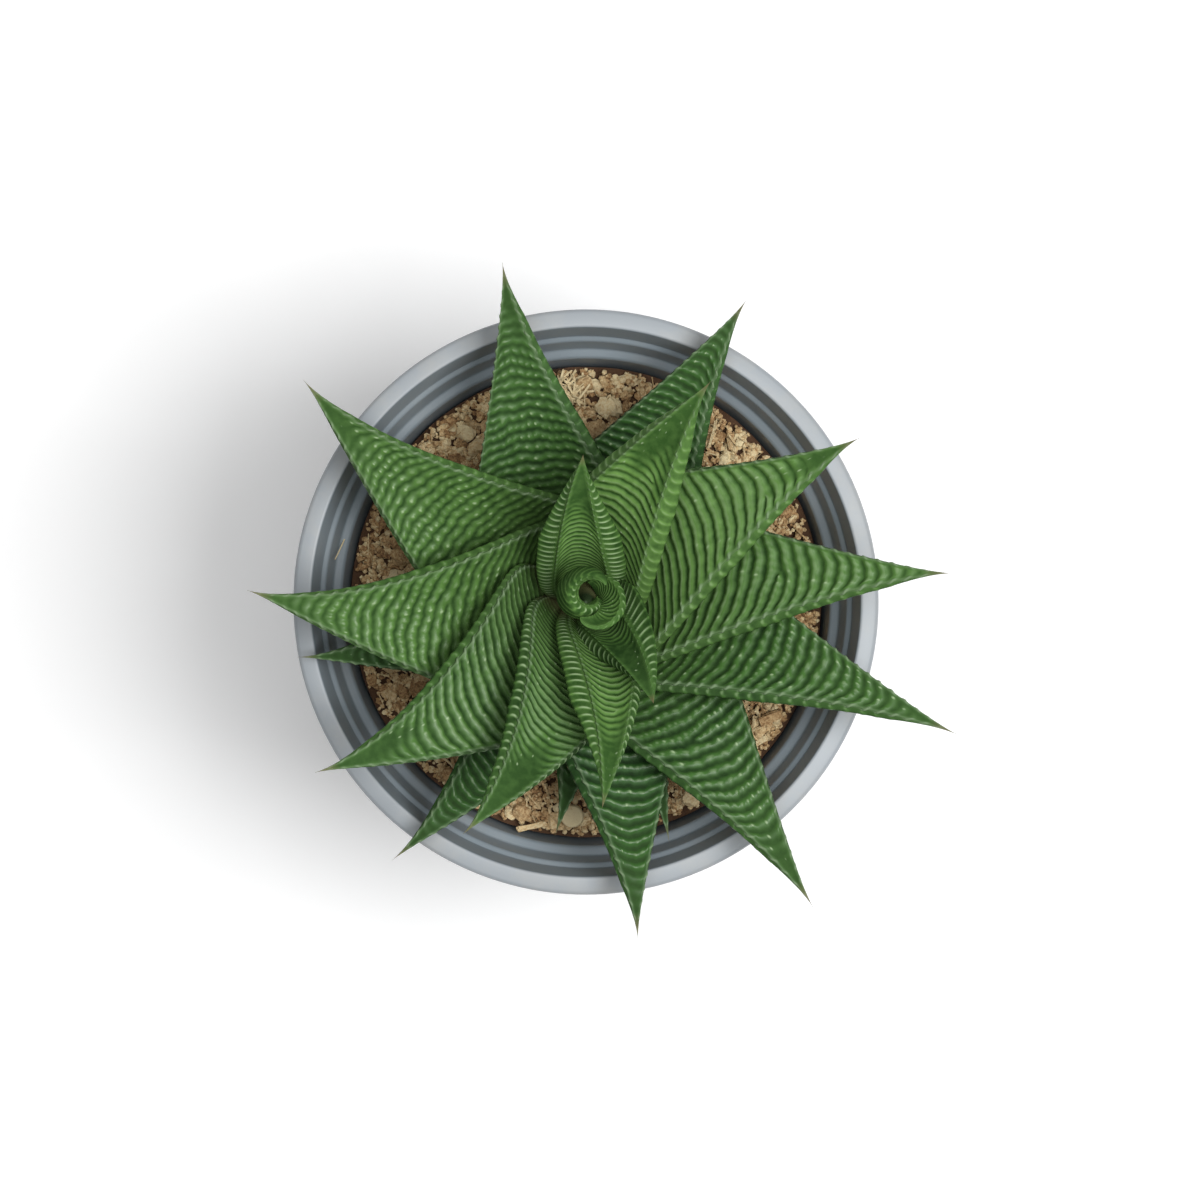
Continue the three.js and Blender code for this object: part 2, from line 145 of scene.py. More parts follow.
def add_mesh_piece(bm, name, material, replaced=()):
    """Makes an object of a bmesh, gives it its material, and hangs it on the frame."""
    mesh = mesh_of(bm, name)
    mesh.materials.append(material)
    piece = add_object(name, mesh)
    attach(piece, "root")
    if replaced:
        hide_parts(*replaced)
    return piece


def mark_vertices(piece, name, numbers):
    """Gives each vertex a number that a material can read by this name."""
    piece.data.attributes.new(name, "FLOAT", "POINT").data.foreach_set("value", numbers)


def smooth(piece):
    for polygon in piece.data.polygons:
        polygon.use_smooth = True


def shade(piece, sharpest):
    """Smooth shading, except across edges that turn by more than this many degrees."""
    smooth(piece)
    piece.data.set_sharp_from_angle(angle=math.radians(sharpest))


# %% [markdown]
# ## The pot's plastic
# The pot is injection-moulded polypropylene, tinted grey. It leaves the mould with a fine, even
# texture, so it shines softly, and handling leaves faint scuffs and a little dust. Polypropylene has an
# IOR of about 1.49 and, with this texture, a roughness near 0.45. The wall inside the lip is painted
# darker, as painted shade in the pot's hollow. Scuffs and texture don't follow the pot's shape, so
# noise on Object coordinates makes them, and the painted shade reads a number that marks the inside.

# %% Material: moulded polypropylene
POT_GREY = "#989ea3"
POT_GREY_DUSTY = "#a2a4a4"
# Painted shade: the inside of the pot is mixed towards this darker blue-grey.
POT_INSIDE_SHADE = "#465b66"
INSIDE_SHADE_STRENGTH = 0.48
SCUFF_SIZE = 9
DUSTY_SCUFFS = (0.45, 0.75)
POT_ROUGHNESS = (0.38, 0.55)
MOULD_TEXTURE_SIZE = 0.35
MOULD_TEXTURE_DEPTH = 0.04
POT_IOR = 1.49


def moulded_polypropylene():
    material, tree, shader = new_material("moulded_polypropylene")
    place = add_node(tree, "ShaderNodeTexCoord").outputs["Object"]
    scuffs = add_node(tree, "ShaderNodeTexNoise", {
        "Vector": place, "Scale": 1 / (SCUFF_SIZE * MM), "Detail": 5, "Roughness": 0.7})
    dust = add_node(tree, "ShaderNodeMapRange", {
        "Value": scuffs.outputs["Fac"], "From Min": DUSTY_SCUFFS[0], "From Max": DUSTY_SCUFFS[1]})
    tint = add_node(tree, "ShaderNodeMix", {
        FACTOR: dust.outputs["Result"], FIRST: linear(POT_GREY), SECOND: linear(POT_GREY_DUSTY),
    }, data_type="RGBA")
    # Painted shade in the pot's hollow: the vertices marked inside are darkened.
    inside = add_node(tree, "ShaderNodeAttribute", attribute_name="inside")
    inside_shade = add_node(tree, "ShaderNodeMath", {
        0: inside.outputs["Fac"], 1: INSIDE_SHADE_STRENGTH}, operation="MULTIPLY")
    tint = add_node(tree, "ShaderNodeMix", {
        FACTOR: inside_shade.outputs[0], FIRST: tint.outputs[MIXED], SECOND: linear(POT_INSIDE_SHADE),
    }, data_type="RGBA")
    gloss = add_node(tree, "ShaderNodeMapRange", {
        "Value": scuffs.outputs["Fac"], "To Min": POT_ROUGHNESS[0], "To Max": POT_ROUGHNESS[1]})
    grain = add_node(tree, "ShaderNodeTexNoise", {
        "Vector": place, "Scale": 1 / (MOULD_TEXTURE_SIZE * MM), "Detail": 2})
    bump = add_node(tree, "ShaderNodeBump", {
        "Height": grain.outputs["Fac"], "Strength": 0.25, "Distance": MOULD_TEXTURE_DEPTH * MM})
    fill(tree, shader, {
        "Base Color": tint.outputs[MIXED], "Roughness": gloss.outputs["Result"],
        "Normal": bump.outputs["Normal"], "IOR": POT_IOR})
    return material


# %% [markdown]
# ## The pot
# A nursery pot is round about its axis. It could be built up from cylinders, but its wall has many
# small steps, so half a section of it is drawn and spun. The corners of a moulding are never sharp:
# each corner of the section is beveled into a small arc first, wide at the rolled lip and tight at the
# steps inside.

# %% Pot: section
LIP_RADIUS = 45
LIP_INNER_RADIUS = 42.2
LIP_THICKNESS = 1.4
LIP_FALL = 0.4
SKIRT_DEPTH = 11
SKIRT_THICKNESS = 1.1
SKIRT_SLOPE = 0.4
BEAD_DEPTH = 5
BEAD_RADIUS = 41.1
BEAD_WIDTH = 0.8
BEAD_DROP = 0.35
LEDGE_DEPTH = 9.5
LEDGE_OUTER_RADIUS = 39.4
LEDGE_INNER_RADIUS = 37.9
LEDGE_FALL = 0.4
WALL = 1.3
THIN_WALL = WALL * 0.8
FLOOR_INNER_RADIUS = 29.7
FLOOR_TOP = 3
FOOT_RADIUS = 31
FOOT_INSET = 0.2
FOOT_WIDTH = 4
FOOT_RECESS = 1.6
FOOT_SLOPE = 1
PAD_RADIUS = 7


def pot_section():
    """Half section of the moulding, as (radius, height, rounding of the corner) in mm."""
    underside = RIM_HEIGHT - LIP_THICKNESS
    bead_top = RIM_HEIGHT - BEAD_DEPTH
    ledge_top = RIM_HEIGHT - LEDGE_DEPTH
    skirt_foot = RIM_HEIGHT - SKIRT_DEPTH
    inside_skirt = LIP_RADIUS - SKIRT_THICKNESS
    return [
        (0, 0, 0),
        (PAD_RADIUS, 0, 0.3),
        (PAD_RADIUS + FOOT_SLOPE, FOOT_RECESS, 0.3),
        (FOOT_RADIUS - FOOT_WIDTH - FOOT_SLOPE, FOOT_RECESS, 0.3),
        (FOOT_RADIUS - FOOT_WIDTH, 0, 0.3),
        (FOOT_RADIUS - FOOT_INSET, 0, 0.5),
        (LEDGE_INNER_RADIUS + WALL, ledge_top - WALL, 0.3),
        (LEDGE_OUTER_RADIUS + WALL, ledge_top - LEDGE_FALL, 0.3),
        (BEAD_RADIUS + THIN_WALL, bead_top - 0.6, 0.3),
        (LIP_INNER_RADIUS + THIN_WALL, underside, 0.3),
        (inside_skirt, underside, 0.3),
        (inside_skirt - SKIRT_SLOPE, skirt_foot, 0.3),
        (LIP_RADIUS - SKIRT_SLOPE, skirt_foot, 0.3),
        (LIP_RADIUS, RIM_HEIGHT - LIP_FALL, 0.7),
        (LIP_INNER_RADIUS, RIM_HEIGHT, 0.4),
        (BEAD_RADIUS, bead_top, 0.15),
        (BEAD_RADIUS - BEAD_WIDTH, bead_top - BEAD_DROP, 0.3),
        (LEDGE_OUTER_RADIUS, ledge_top + LEDGE_FALL, 0.3),
        (LEDGE_INNER_RADIUS, ledge_top, 0.5),
        (FLOOR_INNER_RADIUS, FLOOR_TOP, 1.0),
        (0, FLOOR_TOP, 0),
    ]


# %% Pot: spin the section
POT_TURN_STEPS = 192
ROUNDING_STEPS = 4
SAME_PLACE = 0.001


def drawn(outline):
    """A bmesh with the outline's (radius, height) corners in mm, joined in a row, and the corners."""
    bm = bmesh.new()
    corners = [bm.verts.new((radius * MM, 0, height * MM)) for radius, height in outline]
    for first, second in zip(corners, corners[1:]):
        bm.edges.new((first, second))
    return bm, corners


def spin_round(bm, steps):
    """Spins an outline once round the upright axis into a closed shape that faces outwards."""
    bmesh.ops.spin(bm, geom=bm.verts[:] + bm.edges[:], cent=(0, 0, 0), axis=(0, 0, 1), angle=2 * math.pi,
                   steps=steps, use_merge=True)
    bmesh.ops.remove_doubles(bm, verts=bm.verts, dist=SAME_PLACE * MM)
    bmesh.ops.recalc_face_normals(bm, faces=bm.faces)


def spun_pot():
    section = pot_section()
    bm, corners = drawn([row[:2] for row in section])
    for rounding in sorted({row[2] for row in section if row[2]}):
        rounded = [corner for corner, row in zip(corners, section) if row[2] == rounding]
        bmesh.ops.bevel(bm, geom=rounded, affect="VERTICES", offset=rounding * MM, segments=ROUNDING_STEPS,
                        profile=0.5, material=-1)
    spin_round(bm, POT_TURN_STEPS)
    return bm


pot = add_mesh_piece(spun_pot(), "nursery_pot", moulded_polypropylene(), ["pot"])
print("pot faces:", len(pot.data.polygons))

# %% [markdown]
# Water leaves the pot through six round holes in its bottom. A spun wall can't have them, so they are
# cut last: a boolean takes six upright cylinders away, and its result is kept as the pot's mesh.

# %% Pot: drain holes
DRAIN_HOLES = 6
DRAIN_RADIUS = 3
DRAIN_CIRCLE_RADIUS = 17
DRAIN_SIDES = 40
POT_SHARPEST = 40


def drain_cutters():
    """One upright cylinder for each drain hole, taller than the pot's bottom is thick."""
    bm = bmesh.new()
    for number in range(DRAIN_HOLES):
        angle = 2 * math.pi * number / DRAIN_HOLES
        middle = Vector((math.cos(angle), math.sin(angle), 0)) * DRAIN_CIRCLE_RADIUS * MM
        bmesh.ops.create_cone(bm, cap_ends=True, segments=DRAIN_SIDES, radius1=DRAIN_RADIUS * MM,
                              radius2=DRAIN_RADIUS * MM, depth=3 * FLOOR_TOP * MM,
                              matrix=Matrix.Translation(middle))
    return add_object("drain_cutters", mesh_of(bm, "drain_cutters"))


def cut_away(piece, cutter):
    """Takes the cutter's shape out of the piece and leaves the result as its mesh."""
    boolean = piece.modifiers.new("cut", "BOOLEAN")
    boolean.object = cutter
    boolean.solver = "EXACT"
    evaluated = piece.evaluated_get(bpy.context.evaluated_depsgraph_get())
    cut_mesh = bpy.data.meshes.new_from_object(evaluated)
    piece.modifiers.remove(boolean)
    piece.data = cut_mesh
    bpy.data.objects.remove(cutter)


cut_away(pot, drain_cutters())
shade(pot, POT_SHARPEST)
print("pot faces with its drain holes:", len(pot.data.polygons))

# %% [markdown]
# Only the inside of the pot gets the painted shade. The plastic could be split into two materials, but
# the real pot has one, so each vertex gets a number instead: 1 where it is nearer the axis than the
# middle of the wall, and 0 elsewhere. The top of the lip gets no painted shade.

# %% Pot: mark the surface inside
# The middle of the wall's thickness, as heights and radii.
MID_WALL_HEIGHTS = (FLOOR_TOP, 67.3, 68.5, 72.5, 76.6)
MID_WALL_RADII = (30.3, 38.5, 40.0, 41.6, 42.4)
LOWEST_INSIDE = FLOOR_TOP - 0.5
HIGHEST_INSIDE = RIM_HEIGHT - 0.2


def is_inside(point):
    radius = math.hypot(point.x, point.y) / MM
    height = point.z / MM
    mid_wall = np.interp(height, MID_WALL_HEIGHTS, MID_WALL_RADII)
    return radius < mid_wall and LOWEST_INSIDE < height < HIGHEST_INSIDE


marks = [float(is_inside(vertex.co)) for vertex in pot.data.vertices]
mark_vertices(pot, "inside", marks)
print("share of the pot's vertices inside:", round(sum(marks) / len(marks), 2))

# %% [markdown]
# ## Potting mix
# The mix is composted bark with some coir. Bark that has rotted and dried is matt, with a roughness
# near 0.9, and no two chips have the same brown. So each chip carries its own tone as a number at its
# vertices, a ramp from dark brown to pale tan turns tones into colours, and a fine noise, of the size of
# the bark's fibres, mottles each chip and roughens it.

# %% Potting mix: colours and finish
BARK_DARK = "#4c331f"
BARK_BROWN = "#9f7b52"
BARK_TAN = "#cbaf82"
BARK_PALE = "#dccba2"
FIBRE_SIZE = 0.4
FIBRE_CONTRAST = 1.3
FIBRE_DEPTH = 0.25
BARK_ROUGHNESS = 0.9


def dry_bark(name, lightness):
    """Composted bark, whose tones are all shifted by this lightness."""
    material, tree, shader = new_material(name)
    place = add_node(tree, "ShaderNodeTexCoord").outputs["Object"]
    tone = add_node(tree, "ShaderNodeAttribute", attribute_name="tone")
    fibres = add_node(tree, "ShaderNodeTexNoise", {
        "Vector": place, "Scale": 1 / (FIBRE_SIZE * MM), "Detail": 4, "Roughness": 0.7})
    shifted = add_node(tree, "ShaderNodeMath", {
        0: fibres.outputs["Fac"], 1: FIBRE_CONTRAST, 2: lightness - FIBRE_CONTRAST / 2,
    }, operation="MULTIPLY_ADD")
    level = add_node(tree, "ShaderNodeMath", {
        0: tone.outputs["Fac"], 1: shifted.outputs[0]}, operation="ADD")
    ramp = add_node(tree, "ShaderNodeValToRGB", {"Fac": level.outputs[0]})
    first, last = ramp.color_ramp.elements
    first.position, first.color = 0.15, linear(BARK_DARK)
    last.position, last.color = 1.0, linear(BARK_PALE)
    for position, hex_code in ((0.45, BARK_BROWN), (0.75, BARK_TAN)):
        ramp.color_ramp.elements.new(position).color = linear(hex_code)
    bump = add_node(tree, "ShaderNodeBump", {
        "Height": fibres.outputs["Fac"], "Strength": 0.8, "Distance": FIBRE_DEPTH * MM})
    fill(tree, shader, {
        "Base Color": ramp.outputs["Color"], "Normal": bump.outputs["Normal"], "Roughness": BARK_ROUGHNESS})
    return material


# %% [markdown]
# The body of the mix fills the pot from its bottom, as the real one does. It is spun like the pot, and
# its top, which is drawn flat and in many rings, is then moved up and down by the height formula of the
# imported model. So everything that lies on it can be placed by the same formula.

# %% Potting mix: body
SOIL_GAP = 0.3
SOIL_EDGE_HEIGHT = 64
SOIL_MOUND = 3
SOIL_LUMP = 0.8
DEEPEST_LUMP = 2
SOIL_RINGS = 56
SOIL_TURN_STEPS = 150
SOIL_SHARPEST = 60


def inner_wall_radius(height):
    share = (height - FLOOR_TOP) / (RIM_HEIGHT - LEDGE_DEPTH - FLOOR_TOP)
    return FLOOR_INNER_RADIUS + (LEDGE_INNER_RADIUS - FLOOR_INNER_RADIUS) * share


def soil_height(x, y):
    """Height of the mix over a place in the pot, all in mm: a low mound with lumps."""
    radius = math.hypot(x, y)
    mound = SOIL_MOUND * max(0, 1 - (radius / inner_wall_radius(SOIL_EDGE_HEIGHT)) ** 2)
    lumps = math.sin(0.55 * x + 1.3) * math.cos(0.48 * y - 0.7) + 0.6 * math.sin(0.9 * x - 1.1 * y)
    return SOIL_EDGE_HEIGHT + mound + SOIL_LUMP * lumps


def soil_body():
    bottom = FLOOR_TOP + SOIL_GAP
    top_radius = inner_wall_radius(SOIL_EDGE_HEIGHT - DEEPEST_LUMP) - SOIL_GAP
    outline = [(0, bottom), (FLOOR_INNER_RADIUS - SOIL_GAP, bottom)]
    outline += [(top_radius * (1 - ring / SOIL_RINGS), SOIL_EDGE_HEIGHT) for ring in range(SOIL_RINGS + 1)]
    bm, _ = drawn(outline)
    spin_round(bm, SOIL_TURN_STEPS)
    for vertex in bm.verts:
        if vertex.co.z > (bottom + 1) * MM:
            vertex.co.z = soil_height(vertex.co.x / MM, vertex.co.y / MM) * MM
    return bm


# The body has no tone numbers and lightness 0, so it is darker than the chips: painted shade in the gaps
# between them.
soil = add_mesh_piece(soil_body(), "potting_mix", dry_bark("composted_bark", 0.0), ["soil"])
shade(soil, SOIL_SHARPEST)
print("potting mix faces:", len(soil.data.polygons))

# %% [markdown]
# ## Chips
# The mix is covered with loose chips of bark, from crumbs of 0.6 mm to chips and fibres of over 4 mm.
# A sculpted surface would need millions of faces to show them, so a few rough stones and splinters of
# 20 to 80 faces are made here, and the next step drops thousands of copies of them. All random draws
# come from one seeded source, so the mix is the same each time.

# %% Chips: the shapes that they are copied from
draws = random.Random(11)


def rough_stone(detail, width, height):
    """A lump of bark: a small icosphere, squashed and knocked out of round."""
    bm = bmesh.new()
    bmesh.ops.create_icosphere(bm, subdivisions=detail, radius=0.5)
    for vertex in bm.verts:
        vertex.co *= draws.uniform(0.68, 1.18)
        vertex.co.y *= width
        vertex.co.z *= height
    return mesh_of(bm, "stone")


def splinter(width, bend):
    """A sliver of bark: a long box whose ends are torn to uneven lengths."""
    bm = bmesh.new()
    bmesh.ops.create_cube(bm, size=1)
    bmesh.ops.subdivide_edges(bm, edges=bm.edges, cuts=2, use_grid_fill=True)
    for vertex in bm.verts:
        x = vertex.co.x * draws.uniform(0.85, 1.15)
        vertex.co.y *= width * draws.uniform(0.7, 1.2)
        vertex.co.z = vertex.co.z * width * draws.uniform(0.5, 0.9) + bend * x * x
        vertex.co.x = x
    return mesh_of(bm, "splinter")


stones = [rough_stone(2, draws.uniform(0.6, 0.9), draws.uniform(0.4, 0.75)) for _ in range(12)]
splinters = [splinter(draws.uniform(0.2, 0.4), draws.uniform(-0.3, 0.3)) for _ in range(8)]
fibres = [splinter(draws.uniform(0.05, 0.1), draws.uniform(-0.5, 0.5)) for _ in range(6)]
crumbs = [rough_stone(1, 0.9, 0.8) for _ in range(5)]
for title, shapes in (("stone", stones), ("splinter", splinters), ("fibre", fibres), ("crumb", crumbs)):
    print(len(shapes), title, "shapes with", len(shapes[0].polygons), "faces each")

# %% [markdown]
# Particles could spread the chips, but a plain loop puts each where the height formula says and gives
# it its tone at once. The low chips make a ground layer, larger ones and splinters lie on it, crumbs
# fill the gaps, and a few fibres lie on top. Small sizes are drawn far more often than large ones.

# %% Chips: scatter them
NEAREST_CHIP = 10
SMALL_ONES = 2.2
CHIP_TILT = 0.5
CHIP_SINK = (-0.15, 0.3)
# Name, shapes, count, sizes, lift above the mix, and tones from dark to pale.
LITTER = [
    ("bark_chips_low", stones, 2400, (1.2, 2.6), 0.3, (0.2, 0.7)),
    ("bark_chips_high", stones + splinters, 1100, (0.9, 4.2), 1.0, (0.1, 0.85)),
    ("bark_crumbs", crumbs, 9000, (0.6, 1.5), 0.9, (0.2, 0.75)),
    ("bark_fibres", fibres, 500, (1.5, 4.5), 1.5, (0.35, 0.7)),
]


def between(pair, share):
    return pair[0] + (pair[1] - pair[0]) * share


def drop(bm, shape, place, turn, size):
    """Adds a copy of the shape to the bmesh, turned, sized and moved to a place in mm."""
    copy = shape.copy()
    copy.transform(Matrix.LocRotScale(Vector(place) * MM, turn, Vector((1, 1, 1)) * size * MM))
    bm.from_mesh(copy)
    bpy.data.meshes.remove(copy)


def scatter(shapes, count, sizes, lift, tones):
    """Drops copies of the shapes on the mix and returns them as one bmesh and each vertex's tone."""
    bm = bmesh.new()
    vertex_tones = []
    for _ in range(count):
        shape = draws.choice(shapes)
        size = between(sizes, draws.random() ** SMALL_ONES)
        room = inner_wall_radius(SOIL_EDGE_HEIGHT) - 0.5 * size - 2 * SOIL_GAP
        radius = math.sqrt(draws.uniform(NEAREST_CHIP ** 2, room ** 2))
        angle = draws.uniform(0, 2 * math.pi)
        x, y = radius * math.cos(angle), radius * math.sin(angle)
        turn = Euler((draws.gauss(0, CHIP_TILT), draws.gauss(0, CHIP_TILT), draws.uniform(0, 2 * math.pi)))
        z = soil_height(x, y) + lift + draws.uniform(*CHIP_SINK) * size
        drop(bm, shape, (x, y, z), turn, size)
        vertex_tones += [draws.uniform(*tones)] * len(shape.vertices)
    return bm, vertex_tones


def add_chips(name, bm, vertex_tones, material):
    piece = add_mesh_piece(bm, name, material)
    mark_vertices(piece, "tone", vertex_tones)
    print(name, "faces:", len(piece.data.polygons))


bark = dry_bark("bark_chips", 0.22)
for name, *litter in LITTER:
    add_chips(name, *scatter(*litter), bark)

# %% [markdown]
# Some pieces of the mix are larger than the rest, and can be seen one by one in the photograph: a round
# flat chip and a stick at the front, a tuft of pale coir at the back, and a hair of coir that stands on
# the pot's wall at the left. Each is placed one by one and joined to one piece.

# %% Chips: single ones and coir
DISC_CHIP_RADIUS = 1.9
DISC_CHIP_THICKNESS = 0.8
STICK_CHIP_WIDTH_SHARE = 0.18
WALL_HAIR_WIDTH_SHARE = 0.03
TUFT_PLACE = (-2.5, 33.0)
TUFT_RADIUS = 2.2
TUFT_HAIRS = 90
TUFT_TONE = 0.75


def disc_chip():
    """A round, flat chip of bark with soft edges, one unit across."""
    bm = bmesh.new()
    bmesh.ops.create_cone(bm, cap_ends=True, segments=20, radius1=0.5, radius2=0.45,
                          depth=DISC_CHIP_THICKNESS / (2 * DISC_CHIP_RADIUS))
    rims = [edge for edge in bm.edges if len(edge.link_faces[0].verts) != len(edge.link_faces[1].verts)]
    bmesh.ops.bevel(bm, geom=rims, affect="EDGES", offset=0.05, segments=2, profile=0.5, material=-1)
    return mesh_of(bm, "disc_chip")


def single_chips():
    bm = bmesh.new()
    vertex_tones = []
    # Shape, place, lift above the mix, turn in radians, length, and tone.
    rows = [(disc_chip(), (-2.2, -33.4), 2.4, (0.15, -0.1, 0), 2 * DISC_CHIP_RADIUS, 0.92),
            (splinter(STICK_CHIP_WIDTH_SHARE, 0.1), (-8.4, -35.0), 2.2, (0, 0.15, 0.2), 4.5, 0.6),
            (splinter(WALL_HAIR_WIDTH_SHARE, 0.3), (-38.2, 8.1), 5.5, (0, 0.9, 1.2), 6, 0.9)]
    for _ in range(TUFT_HAIRS):
        place = [middle + draws.gauss(0, 0.5) * TUFT_RADIUS for middle in TUFT_PLACE]
        turn = (0, draws.gauss(0, CHIP_TILT), draws.uniform(0, 2 * math.pi))
        rows.append((draws.choice(fibres), place, draws.uniform(1.2, 3), turn, draws.uniform(1.5, 3.5),
                     TUFT_TONE))
    for shape, (x, y), lift, turn, size, tone in rows:
        drop(bm, shape, (x, y, soil_height(x, y) + lift), Euler(turn), size)
        vertex_tones += [tone] * len(shape.vertices)
    return bm, vertex_tones


add_chips("single_chips", *single_chips(), bark)

# %% [markdown]
# ## Leaves
# A leaf is a thick, tapering blade with a shallow channel above and a rounded keel below. It could be
# sculpted, but 21 leaves that turn about one stem are better drawn by a formula, from a few measures
# for each: where its tip stands, how high, how wide it is and how far it sweeps round. These are the
# same as in the imported model. The ridges, and how the leaf ages, have measures of their own.

# %% Leaves: measures
# Newest first. azimuth and sweep are in degrees; reach is from the stem's axis to the tip; half_width
# is at mid-length; lean takes the underside to the clockwise side; spacing is between the ridges. The
# last four go from 0 to 1: how far the ridges are broken up, how white the bars on the side faces
# are, how deep the green is, with painted shade added for leaves that lie in shade, and the share of
# the length from which the ridges fade.
LEAF_COLUMNS = ("azimuth", "reach", "tip_height", "half_width", "sweep", "lean", "spacing", "broken",
                "bars", "depth", "fade_from")
LEAVES = [
    (304.0, 17.9, 108, 2.2, 16, -0.35, 1.15, 0.0, 0.9, 0.4, 0.3),
    (90.8, 21.5, 112, 2.9, 7.5, 0, 1.05, 0.0, 1, 0.1, 0.48),
    (274.7, 30.1, 114, 3.0, 17, 0.3, 1.3, 0.0, 1, 0.1, 0.5),
    (60.4, 36.9, 114, 5.0, 10.5, 0.15, 1.6, 0.1, 0.3, 0.0, 0.5),
    (242.2, 38.3, 112, 5.1, 20, 0.3, 1.4, 0.0, 1, 0.5, 0.5),
    (30.9, 46.9, 109, 6.8, 4.5, 0.25, 2.1, 0.1, 0.5, 0.25, 0.72),
    (212.2, 47.1, 106, 6.45, 18, 0.15, 1.9, 0.15, 0.3, 0.6, 0.62),
    (4.5, 54.4, 103, 6.3, 5.5, 0.25, 2.1, 0.2, 0.5, 0.5, 0.8),
    (178.0, 50.3, 100, 7.1, 16, 0, 1.9, 0.6, 0.3, 0.45, 0.7),
    (340.4, 58.9, 97, 6.3, 5.5, 0.3, 2.0, 0.5, 0.5, 0.75, 0.72),
    (141.8, 53.8, 94, 7.2, 12, 0, 1.7, 0.9, 0.3, 0.45, 0.7),
    (306.7, 57.3, 91, 6.8, 6, 0.15, 2.1, 0.5, 0.3, 0.8, 0.72),
    (103.8, 52.9, 88, 7.1, 6, 0.35, 1.6, 0.7, 0.15, 0.75, 0.74),
    (278.8, 51.7, 86, 6.9, 6, 0.2, 1.9, 0.3, 0.2, 1, 0.72),
    (62.0, 52.1, 84, 6.8, 6, 0.2, 1.6, 0.4, 0.1, 0.95, 0.74),
    (233.1, 49.3, 82, 5.1, 14, 0.2, 1.7, 0.4, 0.5, 1, 0.7),
    (190.8, 44.9, 81, 4.5, 10, 0.2, 1.7, 0.4, 0.2, 1, 0.7),
    (262.4, 36.5, 73, 3.8, 10, 0.2, 1.8, 0.3, 0.1, 1, 0.7),
    (289.1, 39.2, 75, 3.8, 10, 0.2, 1.8, 0.3, 0.1, 1, 0.7),
]
# Roll at the root and at the tip, and the numbers of the leaves between which it sets in.
ROLL_DEGREES = (24, 10)
ROLLED_LEAVES = (0.75, 2)
# For the newest leaf and for the oldest.
ROOT_HEIGHTS = (87, 69)
ROOT_NARROWING = (0.45, 0.75)
BLADE_ARCH = (2, 4)
# For an old leaf and for the newest. The first few leaves lie between the two.
CHANNEL = (0.45, 1.3)
TAPER = (1.42, 0.95)
FULLNESS = (1, 1.9)
EDGE_DEPTH = (0.42, 0.9)
EDGE_AGEING = 1.5
YOUNG_LEAVES = 5


def rosette_leaf(index):
    leaf = dict(zip(LEAF_COLUMNS, LEAVES[index]))
    age = index / (len(LEAVES) - 1)
    youth = max(0, 1 - index / YOUNG_LEAVES)
    rolled = (index - ROLLED_LEAVES[0]) / (ROLLED_LEAVES[1] - ROLLED_LEAVES[0])
    rolled = min(1, max(0, rolled))
    return {**leaf, "youth": youth, "seed": index, "centre": (0, 0), "bow": 0, "tinted": (0, 1),
            "heights": (between(ROOT_HEIGHTS, age), leaf["tip_height"]), "arch": between(BLADE_ARCH, age),
            "narrowing": between(ROOT_NARROWING, age), "roll": [degrees * rolled for degrees in ROLL_DEGREES],
            "channel": between(CHANNEL, youth), "taper": between(TAPER, youth),
            "fullness": between(FULLNESS, youth), "edge_depth": between(EDGE_DEPTH, youth ** EDGE_AGEING)}


# %% [markdown]
# The two youngest leaves still stand up and curl round each other, a little beside the stem's axis.
# bow swings the spine out between root and tip, and the left leaf's roll turns its back up. Only what
# differs between the two is listed for each of them.

# %% Leaves: the heart
HEART = {
    "heart_left": {"azimuth": 37, "sweep": 190, "reach": 2.8, "heights": (94, 106), "half_width": 1.9,
                   "bow": 0.5, "roll": (-60, -40), "edge_depth": 0.5, "fullness": 1.6, "seed": 60},
    "heart_right": {"azimuth": 245, "sweep": 160, "reach": 3.4, "heights": (92, 104), "half_width": 1.7,
                    "bow": 1.3, "roll": (15, 15), "edge_depth": 0.6, "fullness": 0.7, "seed": 61},
}
BOTH_HEART_LEAVES = {"centre": (0.7, 0.8), "lean": 0, "arch": 0, "narrowing": 0.3, "channel": 0.6,
                     "taper": 0.6, "youth": 1, "spacing": 0.95, "broken": 0, "bars": 1, "depth": 0.1,
                     "fade_from": 0.6, "tinted": (0.3, 0.86)}
all_leaves = {name: {**BOTH_HEART_LEAVES, **measures} for name, measures in HEART.items()}
all_leaves.update({f"leaf_{index + 1:02d}": rosette_leaf(index) for index in range(len(LEAVES))})
print("leaves:", len(all_leaves))

# %% [markdown]
# A leaf grows along a spine, the line down the middle of its upper face. At each station of the spine
# one direction points across the blade and one out of its face, so that a flat section can be drawn
# there. In these formulas s is the share of the leaf's length, from 0 at the root to 1 at the tip.

# %% Leaves: spine, width and thickness
ROOT_RADIUS = 1
ROOT_SHOULDER = 0.09
SPINE_STEP = 0.01
THICKNESS_SHARES = (0, 0.25, 0.5, 0.8, 1)
THICKNESS = (1.6, 3.0, 3.4, 2.0, 0.9)
THICKEST_SHARE = 1.25
USUAL_HALF_WIDTH = 7
WIDTH_IN_THICKNESS = 0.3
THINNEST_HALF_WIDTH = 0.02


def unit(vectors):
    return vectors / np.linalg.norm(vectors, axis=-1, keepdims=True)


def spine(leaf, s):
    """Points in mm on the line down the middle of the upper face."""
    radius = ROOT_RADIUS + (leaf["reach"] - ROOT_RADIUS) * s + 4 * leaf["bow"] * s * (1 - s)
    angle = np.radians(leaf["azimuth"] + leaf["sweep"] * (1 - s))
    height = between(leaf["heights"], s) + 4 * leaf["arch"] * s * (1 - s)
    x, y = leaf["centre"]
    return np.stack([x + radius * np.cos(angle), y + radius * np.sin(angle), height], axis=-1)


